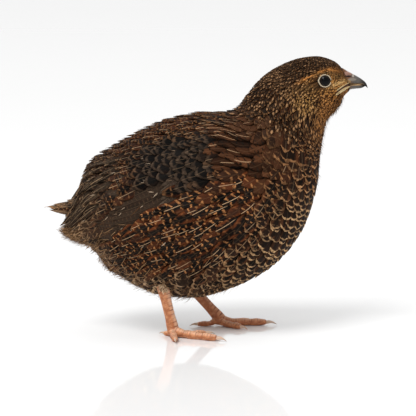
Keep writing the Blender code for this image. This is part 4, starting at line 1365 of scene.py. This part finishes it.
lid_finish = two_tone("eyelid_skin", 0.5, 0.4, 3.0, 3.0, (0.29, 0.225, 0.14), (0.60, 0.51, 0.37))
lid_finish.bump(lid_finish.noise(lid_finish.place()[0], 7.0, 2.0), 0.5, 0.1)


def lids(side_name, side):
    """A ring round the eye's axis: a round section, wider at the two corners.

    The ring's middle stands where the eyeball's surface is, so it hugs the ball.
    """
    out, fore, up = eye_axes(side)
    turn, section = column(whole_turn(72)), whole_turn(14)[None, :]
    rear = np.exp(-(((turn - math.pi) / 0.32) ** 2))
    front = np.exp(-((np.minimum(turn, 2 * math.pi - turn) / 0.26) ** 2))
    middle = 3.20 + 0.34 * rear + 0.16 * front
    wide = 0.34 + 0.28 * rear + 0.10 * front
    folds = 1 + 0.10 * np.sin(13 * turn + 1.0) * np.sin(section)
    radius = middle + wide * np.cos(section) * folds
    rest = np.sqrt(np.clip(EYE_RADIUS**2 - middle**2, 0.4, None))
    stand = rest + 0.10 + 0.42 * np.sin(section) * folds - 0.25 * rear
    grid = (EYE * (1, side, 1) + (radius * np.cos(turn))[..., None] * fore
            + (radius * np.sin(turn))[..., None] * up + stand[..., None] * out)
    count, sides = grid.shape[:2]
    i, j = np.meshgrid(np.arange(count), np.arange(sides), indexing="ij")
    n, k = (i + 1) % count, (j + 1) % sides
    corners = stacked(i * sides + j, n * sides + j, n * sides + k, i * sides + k).ravel()
    points = grid.reshape(-1, 3)
    starts = np.arange(0, len(corners), 4)
    new_piece("eyelids_" + side_name, points, outward(corners, starts, points), starts,
              lid_finish.material)


for side_name, side in SIDES.items():
    eye_ball(side_name, side)
    lids(side_name, side)

# %% [markdown]
# ## The corner of the mouth
#
# From under the bill a bare cream strip runs back to the corner of the mouth, with a
# narrower one above it and, between them, a dark strip of painted shade for the crease of
# the closed mouth.  Each is a flat tube laid on the face.  To lay it there, a table of the
# form is searched for the places nearest to a few points of the side view.

# %% Gape

gape_finish = two_tone("gape_skin", 0.5, 0.3, 1.6, 3.0, (0.28, 0.165, 0.06), (0.66, 0.52, 0.27))
# Painted shade: the dark strip between the two cream ones stands for the shadow in the crease of
# the closed mouth.
mouth_shade_finish = two_tone(
    "mouth_crease_shade", 0.5, 0.2, 1.6, 3.0, (0.020, 0.007, 0.005), (0.060, 0.020, 0.012))
TABLE_U, TABLE_ANGLE = np.meshgrid(
    np.linspace(11, 16, 260), np.linspace(0.3, math.pi, 240), indexing="ij")
TABLE = form_at(TABLE_U, TABLE_ANGLE)
GAPE_X = (69.2, 71.3, 73.5, 75.7, 77.8)
GAPE_Z = (129.0, 130.5, 131.9, 133.0, 133.6)


def on_face(x, z):
    """Places in (u, angle) whose side view is nearest to the given x and z."""
    far = [((TABLE[..., 0] - a) ** 2 + (TABLE[..., 2] - b) ** 2).argmin() for a, b in zip(x, z)]
    return TABLE_U.ravel()[far], TABLE_ANGLE.ravel()[far]


def tube_grid(line, across, deep, side_axis, sides):
    """Rings round a line: cosine of the angle across, sine of it in the third direction."""
    ahead = unit(np.gradient(line, axis=0))
    side = unit(side_axis - ahead * (ahead @ side_axis)[:, None])
    up = np.cross(ahead, side)
    angle = whole_turn(sides)[None, :, None]
    return (line[:, None] + across[:, None, None] * np.cos(angle) * side[:, None]
            + deep[:, None, None] * np.sin(angle) * up[:, None])


def gape(name, side, rise, width, material):
    """A strip at the given height over the corner's line, widest at its middle."""
    t = np.linspace(0, 1, 40)
    x = np.interp(t * 4, range(5), GAPE_X)
    u, angle = on_face(x, np.interp(t * 4, range(5), GAPE_Z) + rise)
    line = form_at(u, side * angle, -0.05)
    line = stacked(*(np.convolve(np.pad(c, 3, "edge"), np.ones(7) / 7, "valid") for c in line.T))
    width = 0.08 + width * np.sin(math.pi * t**0.9) ** 0.8
    out = np.array((0.25, side, -0.35)) / np.linalg.norm((0.25, 1, -0.35))
    grid = tube_grid(line, 0.5 * width, width, out, 14)
    tube_piece(name, grid, material)


for side_name, side in SIDES.items():
    gape("gape_" + side_name, side, 0.0, 0.80, gape_finish.material)
    gape("gape_upper_" + side_name, side, 2.15, 0.30, gape_finish.material)
    gape("mouth_line_" + side_name, side, 1.25, 0.34, mouth_shade_finish.material)


# %% [markdown]
# ## The bill
#
# The bill is two horn sheaths.  The upper one curves over the lower and ends in a small
# hook.  At its root a soft flap half covers each nostril.  The flap and the slit under it
# are smooth bumps added to the form along its outward direction.

# %% Bill
UPPER = np.array([
    (73.4, 143.2, 76.9, 134.30, 4.0, 0.62),
    (77.6, 140.6, 79.3, 134.35, 3.15, 0.64),
    (80.8, 139.0, 81.5, 134.40, 2.45, 0.64),
    (83.8, 137.2, 83.9, 134.25, 1.70, 0.60),
    (86.1, 135.1, 85.6, 133.50, 0.95, 0.50),
    (87.3, 132.3, 87.3, 132.30, 0.0, 0.50),
])
LOWER = np.array([
    (75.4, 134.10, 76.4, 131.50, 3.5, 0.30),
    (80.6, 134.75, 80.8, 132.05, 2.55, 0.30),
    (83.3, 134.60, 83.6, 132.35, 1.75, 0.30),
    (85.8, 133.40, 85.8, 133.40, 0.0, 0.50),
])

horn = Finish("bill_horn", 0.38, 0.16)
_, horn_x, horn_y, horn_z = horn.place()
horn_grain = horn.noise(horn.join(horn_x * 0.25, horn_y, horn_z), 2.4, 4.0, 0.6)
horn_root = horn_x + horn_grain * 1.6
horn_slope = horn_root + 27.6 - horn_z * 0.20
culmen = horn_z + horn_x * 0.62 - 188.2
cutting_edge = horn.step(abs(horn_z - 134.45), 0.75, 0.2) * horn.step(horn_x, 85.5, 82.0)


def oval(x, z, long, high):
    """1 inside an oval of the side view (mm), fading to 0 over its uneven rim."""
    across, up = (horn_x - x) / long, (horn_z - z) / high
    return horn.step(across * across + up * up + horn_grain * 0.5, 1.5, 0.6)


horn.base(horn.layers(
    (0.135, 0.055, 0.022),
    (horn.step(horn_slope, 77.4, 78.9), (0.105, 0.072, 0.056)),
    (horn.step(horn_slope, 79.6, 81.2), (0.085, 0.077, 0.070)),
    (horn.step(horn_root, 82.4, 85.8), (0.012, 0.011, 0.010)),
    (horn.step(culmen, 0.2, 2.0), (0.020, 0.016, 0.014)),
    (cutting_edge, (0.36, 0.225, 0.105)),
    (oval(78.4, 137.2, 2.6, 0.8), (0.200, 0.170, 0.140)),
    (oval(76.2, 140.2, 2.6, 1.3), (0.270, 0.145, 0.105)),
    # A small pale grey spot behind the nostril: its pale rim, brightened as a painted highlight.
    (oval(79.1, 139.2, 0.55, 0.95), (0.340, 0.300, 0.255)),
    (oval(76.2, 135.9, 1.7, 1.3), (0.360, 0.215, 0.085)),
    # The nostril's slit, dark red and near black: its own dark skin, deepened as painted shade of
    # the opening.
    (oval(76.5, 138.9, 1.7, 0.55), (0.022, 0.006, 0.004)),
    (horn.step(horn_grain, 0.4, 0.75, 0.0, 0.22), (0.19, 0.155, 0.125))))
horn.bump(horn_grain, 0.25, 0.15)


def bill_grid(rows, steps, sides):
    """Sections run out to a closed tip; the steps crowd towards it by a cosine."""
    last = len(rows) - 1
    u = last * np.sin(np.linspace(0.0, 0.5 * math.pi, steps + 1)[:-1])[:, None]
    angle = whole_turn(sides)[None, :]
    before = 2 * rows[0] - rows[1]
    return section_place(curve_through(rows, u + 0 * angle, before), angle + 0 * u)


upper_grid = bill_grid(UPPER, 56, 64)
outwards = unit(upper_grid - upper_grid.mean(axis=1, keepdims=True))


def bell(grid, place, size):
    """A bell round the place on both sides of the bill, with a reach for each axis."""
    at = stacked(grid[..., 0], np.abs(grid[..., 1]), grid[..., 2])
    return np.exp(-(((at - place) / size) ** 2).sum(axis=-1))


flap = bell(upper_grid, (76.4, 2.6, 140.0), (2.1, 2.4, 0.85))
slit = bell(upper_grid, (76.7, 3.0, 138.9), (1.6, 2.6, 0.40))
upper_grid = upper_grid + outwards * (0.85 * flap - 1.0 * slit)[..., None]
upper = tube_piece("bill_sheath_upper", upper_grid, horn.material,
                   last=np.array((87.3, 0, 132.3)))
lower = tube_piece("bill_sheath_lower", bill_grid(LOWER, 30, 40), horn.material,
                   last=np.array((85.8, 0, 133.4)))
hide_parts("bill_upper")
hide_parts("bill_lower")
print("bill reaches", upper_grid[..., 0].max().round(1), "mm")

# %% [markdown]
# ## Legs and feet
#
# Bare legs have plates in front of the shank and across the top of each toe, soft pads
# below, and a swollen pad before each claw.  Tubes along the bones are fused by a voxel
# remesh, so the toes grow out of the palm with no seam.  The remesh loses any map, so each
# point then looks up the bone that it is nearest to.  Its place along and around that bone
# drives the plates, in both the shape and the colour.

# %% Bones of the legs
# ankle, joint, then each toe: length, heading in degrees, radius, height of its root
LEGS = {
    "right": ((-23.0, -15.6, 29.0), (-17.4, -15.6, 5.2), {
        "middle": (27.0, -27.0, 1.95, 3.4), "inner": (18.5, 14.0, 1.45, 3.2),
        "outer": (15.6, -84.0, 1.7, 3.2), "hind": (6.0, 140.0, 1.3, 3.6)}),
    "left": ((-13.4, 14.4, 28.0), (7.2, 15.0, 5.0), {
        "middle": (27.0, 2.0, 1.9, 3.6), "inner": (16.8, -42.0, 1.7, 3.4),
        "outer": (19.4, 24.0, 1.5, 3.4), "hind": (11.8, 192.0, 1.35, 4.4)}),
}
SHANK_ACROSS, SHANK_DEEP = 1.95, 2.65


def toe_line(joint, toe, share):
    """From the palm down to the ground in the first part, then level along it."""
    length, heading, radius, root = toe
    heading = math.radians(heading)
    settle = np.clip(1 - share / 0.42, 0, 1) ** 1.6
    height = mix(radius * 0.9, root, settle)
    reach = length * share
    x, y = joint[0] + reach * math.cos(heading), joint[1] + reach * math.sin(heading)
    return stacked(x, y, height)


def leg_bones(leg):
    """Each bone as its line, radii across and deep, and its sideways direction."""
    ankle, joint, toes = leg
    ankle, joint = np.array(ankle), np.array(joint)
    share = np.linspace(-0.42, 1.07, 60)
    t = np.clip(share, 0, 1)
    waist = 1.06 + 0.30 * (1 - soft_step(share, -0.1, 0.5)) + 0.16 * soft_step(t, 0.75, 1.0)
    bones = [(mix(ankle, joint, share[:, None]), SHANK_ACROSS * waist, SHANK_DEEP * waist,
              np.array((0, 1.0, 0)))]
    for toe in toes.values():
        share = np.linspace(0.0, 1.0, 50)
        pads = 1 + 0.12 * np.cos(2 * math.pi * (share * (3.0 if toe[0] > 12 else 2.0) - 0.35))
        taper = toe[2] * mix(1.16, 0.90, share) * pads
        taper = taper * np.sqrt(np.clip(1.02 - np.clip((share - 0.93) / 0.07, 0, 1) ** 2, 0.05, 1))
        heading = math.radians(toe[1])
        bones.append((toe_line(joint, toe, share), taper, 1.05 * taper,
                      np.array((-math.sin(heading), math.cos(heading), 0.0))))
    return bones


# %% Leg finish
scales = Finish("leg_scales", 0.46, 0.32, Subsurface_Weight=0.10, Subsurface_Scale=0.002)
leg_place, *_ = scales.place()
_, plate_along, plate_top, leg_painted_shade = scales.values("plates")
seam = scales.step(scales.math("PINGPONG", plate_along, 0.5), 0.13, 0.02)
seam = seam * scales.step(plate_top, 0.0, 0.5)
grit = scales.step(scales.cell_edges(leg_place, 1.25), 0.12, 0.02)
grit = grit * scales.step(plate_top, 0.35, -0.1)
leg_colour = scales.layers(
    (0.38, 0.125, 0.046),
    (scales.step(scales.noise(leg_place, 0.45, 4.0), 0.35, 0.65), (0.60, 0.265, 0.120)),
    # Pale plates where the surface faces up on the toes and forward on the shank: their own paler
    # tone, lighter still as a painted highlight.
    (scales.step(plate_top, 0.2, 0.9, 0.0, 0.55), (0.78, 0.500, 0.340)),
    (seam * 0.85, (0.20, 0.060, 0.028)),
    (grit * 0.65, (0.27, 0.09, 0.045)))
# Painted shade: by the share that each leg carries, its colour is multiplied by a darker, browner
# tone, so the far leg looks shaded.
scales.base(scales.colour(leg_painted_shade, leg_colour, (0.62, 0.35, 0.21), "MULTIPLY"))
scales.bump(scales.noise(leg_place, 2.5, 2.0) - grit, 0.5, 0.12)

# %% Legs
PLATE_MM, SHANK_PLATE_MM = 1.45, 2.3
PALM_HEIGHT, PALM_LONG, PALM_ACROSS, PALM_DEEP = 3.2, 3.4, 3.1, 2.9


def read(parts, key, size, kind):
    """All of the parts' numbers of one name as an array, size of them for each part."""
    numbers = np.empty(len(parts) * size, kind)
    parts.foreach_get(key, numbers)
    return numbers.reshape(-1, size) if size > 1 else numbers


def fuse(name, grids, voxel):
    """Closed tubes made one surface by a voxel remesh; returns its points and faces."""
    points, corners, starts = [], [], []
    offset, loops = 0, 0
    for grid in grids:
        p = with_poles(grid)
        c, s = tube_faces(*grid.shape[:2])
        points.append(p)
        corners.append(outward(c, s, p) + offset)
        starts.append(s + loops)
        offset += len(p)
        loops += len(c)
    mesh = new_mesh(name, *map(np.concatenate, (points, corners, starts)))
    helper = linked(bpy.data.objects.new(name + "_tubes", mesh))
    remesh = helper.modifiers.new("fuse", "REMESH")
    remesh.mode = "VOXEL"
    remesh.voxel_size = voxel
    soften = helper.modifiers.new("soften", "SMOOTH")
    soften.factor = 0.5
    soften.iterations = 4
    bpy.context.view_layer.update()
    done = bpy.data.meshes.new_from_object(
        helper.evaluated_get(bpy.context.evaluated_depsgraph_get()))
    bpy.data.objects.remove(helper)
    return (read(done.vertices, "co", 3, np.float32).astype(float),
            read(done.loops, "vertex_index", 1, np.int32),
            read(done.polygons, "loop_start", 1, np.int32),
            read(done.vertices, "normal", 3, np.float32))


def nearest_bone(points, bones):
    """For each point its bone, mm along it, and the outward direction's upward share."""
    best = np.full(len(points), 1e9)
    along, top = np.zeros(len(points)), np.zeros(len(points))
    which = np.zeros(len(points), int)
    for number, (line, across, deep, side) in enumerate(bones):
        away = points[:, None] - line[None]
        far = np.linalg.norm(away, axis=-1) / (0.5 * (across + deep))[None]
        at = far.argmin(axis=1)
        rows = np.arange(len(points))
        length = np.concatenate([[0], np.cumsum(np.linalg.norm(np.diff(line, axis=0), axis=1))])
        out = unit(away[rows, at])
        face = out[:, 0] if number == 0 else out[:, 2]
        nearer = far[rows, at] < best
        best = np.where(nearer, far[rows, at], best)
        along, top = np.where(nearer, length[at], along), np.where(nearer, face, top)
        which = np.where(nearer, number, which)
    return which, along, top


def make_leg(side_name, painted_shade):
    """The bones and the palm fused; each plate is raised towards its lower edge."""
    bones = leg_bones(LEGS[side_name])
    grids = [tube_grid(*bone, 24) for bone in bones]
    joint = np.array(LEGS[side_name][1])
    tilt = np.linspace(-1, 1, 14)[1:-1]
    round_off = np.sqrt(1 - tilt**2)
    palm = joint * (1, 1, 0) + (0, 0, PALM_HEIGHT) + np.outer(PALM_LONG * tilt, (1, 0, 0))
    grids.append(tube_grid(palm, PALM_ACROSS * round_off, PALM_DEEP * round_off,
                           np.array((0, 1.0, 0)), 24))
    points, corners, starts, normals = fuse("leg_" + side_name, grids, 0.27)
    which, along, top = nearest_bone(points, bones)
    plate = np.where(which == 0, along / SHANK_PLATE_MM, along / PLATE_MM)
    share = plate % 1.0
    ridge = (np.sqrt(np.clip(share, 0, 1)) - 0.6) * soft_step(1 - share, 0.0, 0.12)
    points = points + normals * column(0.26 * soft_step(top, 0.05, 0.6) * ridge)
    points[:, 2] = np.maximum(points[:, 2], 0.0)
    plates = stacked(plate, top, np.full(len(points), painted_shade))
    piece = new_piece("leg_skin_" + side_name, points, corners, starts, scales.material,
                      values={"plates": plates})
    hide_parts("shank_" + side_name, "foot_" + side_name)
    print(piece.name, "faces:", len(starts))


# The far, left leg carries painted shade: 0.35 of a darker, browner copy of the leg's colour.
make_leg("right", 0.0)
make_leg("left", 0.35)

# %% [markdown]
# ## Claws
#
# Each claw is a short curved horn with a flatter underside, growing out of the toe's end.
# A circle carried along a bent line and shrunk to nothing gives it.

# %% Claws
claw_finish = Finish("claw_horn", 0.32, 0.5, Subsurface_Weight=0.15, Subsurface_Scale=0.001)
claw_grain = claw_finish.noise(claw_finish.place()[0], 1.6, 3.0)
claw_share = claw_finish.values("share")[1]
claw_finish.base(claw_finish.layers(
    (0.46, 0.27, 0.18), (claw_grain, (0.66, 0.50, 0.38)),
    (claw_finish.step(claw_share, 0.45, 1.0, 0.0, 0.75), (0.23, 0.14, 0.09))))
claw_finish.bump(claw_grain, 0.2, 0.08)


def claw(side_name, toe_name, joint, toe):
    """Reach grows evenly, drop grows with its 2.2th power, and the radius falls to a tip."""
    end = toe_line(np.array(joint), toe, np.array([1.0]))[0]
    heading = math.radians(toe[1])
    size = min(1.0, 0.62 + 0.015 * toe[0])
    t = np.linspace(-0.18, 0.985, 26)
    reach = 0.3 + 5.2 * size * t
    down = 0.22 * np.sin(math.pi * t) - (end[2] - 0.28) * np.clip(t, 0, 1) ** 2.2
    line = end + stacked(reach * math.cos(heading), reach * math.sin(heading), down)
    radius = 0.98 * size * (1 - 0.97 * np.clip(t, 0, 1) ** 1.25) * np.clip(1.2 + t, 0, 1)
    side = np.array((-math.sin(heading), math.cos(heading), 0.0))
    grid = tube_grid(line, 0.82 * radius, radius, side, 20)
    shares = np.repeat(np.clip(t, 0, 1), 20).reshape(len(t), 20)
    piece = tube_piece(f"claw_horn_{side_name}_{toe_name}", grid, claw_finish.material,
                       values={"share": stacked(shares, shares, shares)})
    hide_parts(f"claw_{side_name}_{toe_name}")


for side_name, (_, joint, toes) in LEGS.items():
    for toe_name, toe in toes.items():
        claw(side_name, toe_name, joint, toe)

# %% [markdown]
# ## Cuffs
#
# Where the leg leaves the belly, short soft feathers run a little way down it.  They are
# rows of blades that lie along the shank.

# %% Cuff feathers


def cuff(side_name, side_sign):
    """Rows of blades from the belly down to the ankle, round a girth that narrows."""
    ankle, joint = (np.array(v) for v in LEGS[side_name][:2])
    rows, each = 8, 18
    count = rows * each
    share = np.repeat(np.linspace(-0.42, 0.0, rows), each)
    turn = np.tile(np.arange(each) * 2 * math.pi / each, rows)
    turn = turn + np.repeat(np.arange(rows), each) * 0.2
    down = unit(joint - ankle)
    side = unit(np.array((0, 1.0, 0)) - down * down[1])
    fore = np.cross(side, down)
    length = chance.uniform(3.8, 6.4, count)
    girth = mix(6.2, 3.0, soft_step(share, -0.42, 0.05))

    def place(t, across, height):
        """Down the leg from the root, and out from its line by the girth and the height."""
        centre = ankle + (joint - ankle) * share[:, None]
        along = t * length[:, None]
        thick = mix(girth[:, None], 2.45, t)
        angle = turn[:, None] - across / thick
        radius = (thick + height)[..., None]
        return (centre[:, None] + along[..., None] * down
                + radius * np.cos(angle)[..., None] * fore
                + radius * np.sin(angle)[..., None] * side)

    shape = dict(half_width=0.85, point=0.75, root=-0.6, tip=0.45, bend=1.0, arch=0.1,
                 thick=0.12, roll=0.05, ragged=0.1)
    luck = chance.random((count, 2))
    ground = mix(np.array((0.230, 0.130, 0.070)), np.array((0.64, 0.45, 0.29)), luck[:, :1])
    look = look_of(ground, 1.6 * ground, (0.1, 0.0, 0.5), 0.0, luck[:, 1], 1.0, (0.5, 0.2, 0.3))
    u, angle = 3.8 + share, side_sign * (np.radians(150) + 0.1 * np.cos(turn))
    feathers_piece("cuff_" + side_name, PLAIN_BLADE, place, shape, look, unwrap(u, angle),
                   SMALL_PLUMAGE)


for side_name, side in SIDES.items():
    cuff(side_name, side)

# %% [markdown]
# ## Floor, light and camera
#
# A pale, slightly glossy floor runs off to a pale world, as in a studio with a white
# sweep.  One broad soft light stands high on the left in front, a weaker one fills from
# the right, and the camera looks level at the bird's right side from a little above.

# %% Studio
FLOOR_HALF, FLOOR_Z = 9, -1e-4
floor_finish = two_tone(
    "floor_pale", 0.06, 0.70, 0.002, 2.0, (0.91, 0.91, 0.91), (0.93, 0.93, 0.93))
floor_mesh = bpy.data.meshes.new("floor")
floor_mesh.from_pydata(
    [(FLOOR_HALF * x, FLOOR_HALF * y, FLOOR_Z) for x, y in ((-1, -1), (1, -1), (1, 1), (-1, 1))],
    [], [(0, 1, 2, 3)])
floor_mesh.materials.append(floor_finish.material)
floor = linked(bpy.data.objects.new("floor", floor_mesh))


def aim(item, place, target):
    """Turns the item's -Z axis from its place to the target, with Y kept upwards."""
    item.location = place
    item.rotation_euler = (Vector(target) - Vector(place)).to_track_quat("-Z", "Y").to_euler()


def soft_sun(name, place, size_degrees, strength):
    """Parallel light from the place's direction, as soft as a source of that angle."""
    data = bpy.data.lights.new(name, "SUN")
    data.angle = math.radians(size_degrees)
    data.energy = strength
    aim(linked(bpy.data.objects.new(name, data)), place, (0.0, 0.0, 0.0))


soft_sun("key_light", (-0.40, -0.55, 0.95), 26, 2.0)
soft_sun("top_light", (0.2, 0.2, 1.0), 70, 0.45)
catch = bpy.data.lights.new("catch_light", "AREA")
catch.shape, catch.size, catch.energy = "DISK", 0.16, 0.6
aim(linked(bpy.data.objects.new("catch_light", catch)), (-0.25, -1.1, 0.75), (0.06, 0.0, 0.13))

world = bpy.context.scene.world or bpy.data.worlds.new("world")
bpy.context.scene.world = world
world.use_nodes = True
background = world.node_tree.nodes["Background"]
background.inputs["Color"].default_value = (1.0, 1.0, 1.0, 1.0)
background.inputs["Strength"].default_value = 0.78
bpy.context.scene.view_settings.view_transform = "Standard"

LENS_MM, DISTANCE, RAISED = 176.3, 1.100, math.radians(8.0)
TARGET = (0.0016, 0.0, 0.0675)
camera_data = bpy.data.cameras.new("camera")
camera_data.lens = LENS_MM
camera_data.sensor_width = 36.0
camera_data.clip_start = 0.05
camera = linked(bpy.data.objects.new("camera", camera_data))
camera_y = -DISTANCE * math.cos(RAISED)
aim(camera, (TARGET[0], camera_y, TARGET[2] + DISTANCE * math.sin(RAISED)), TARGET)
bpy.context.scene.camera = camera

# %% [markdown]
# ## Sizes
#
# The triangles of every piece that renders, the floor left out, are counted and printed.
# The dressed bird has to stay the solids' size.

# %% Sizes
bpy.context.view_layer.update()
triangles = sum(
    int(len(item.data.loops) - 2 * len(item.data.polygons))
    for item in bpy.context.scene.objects
    if item.type == "MESH" and not item.hide_render and item.name != "floor")
print("triangles:", triangles)
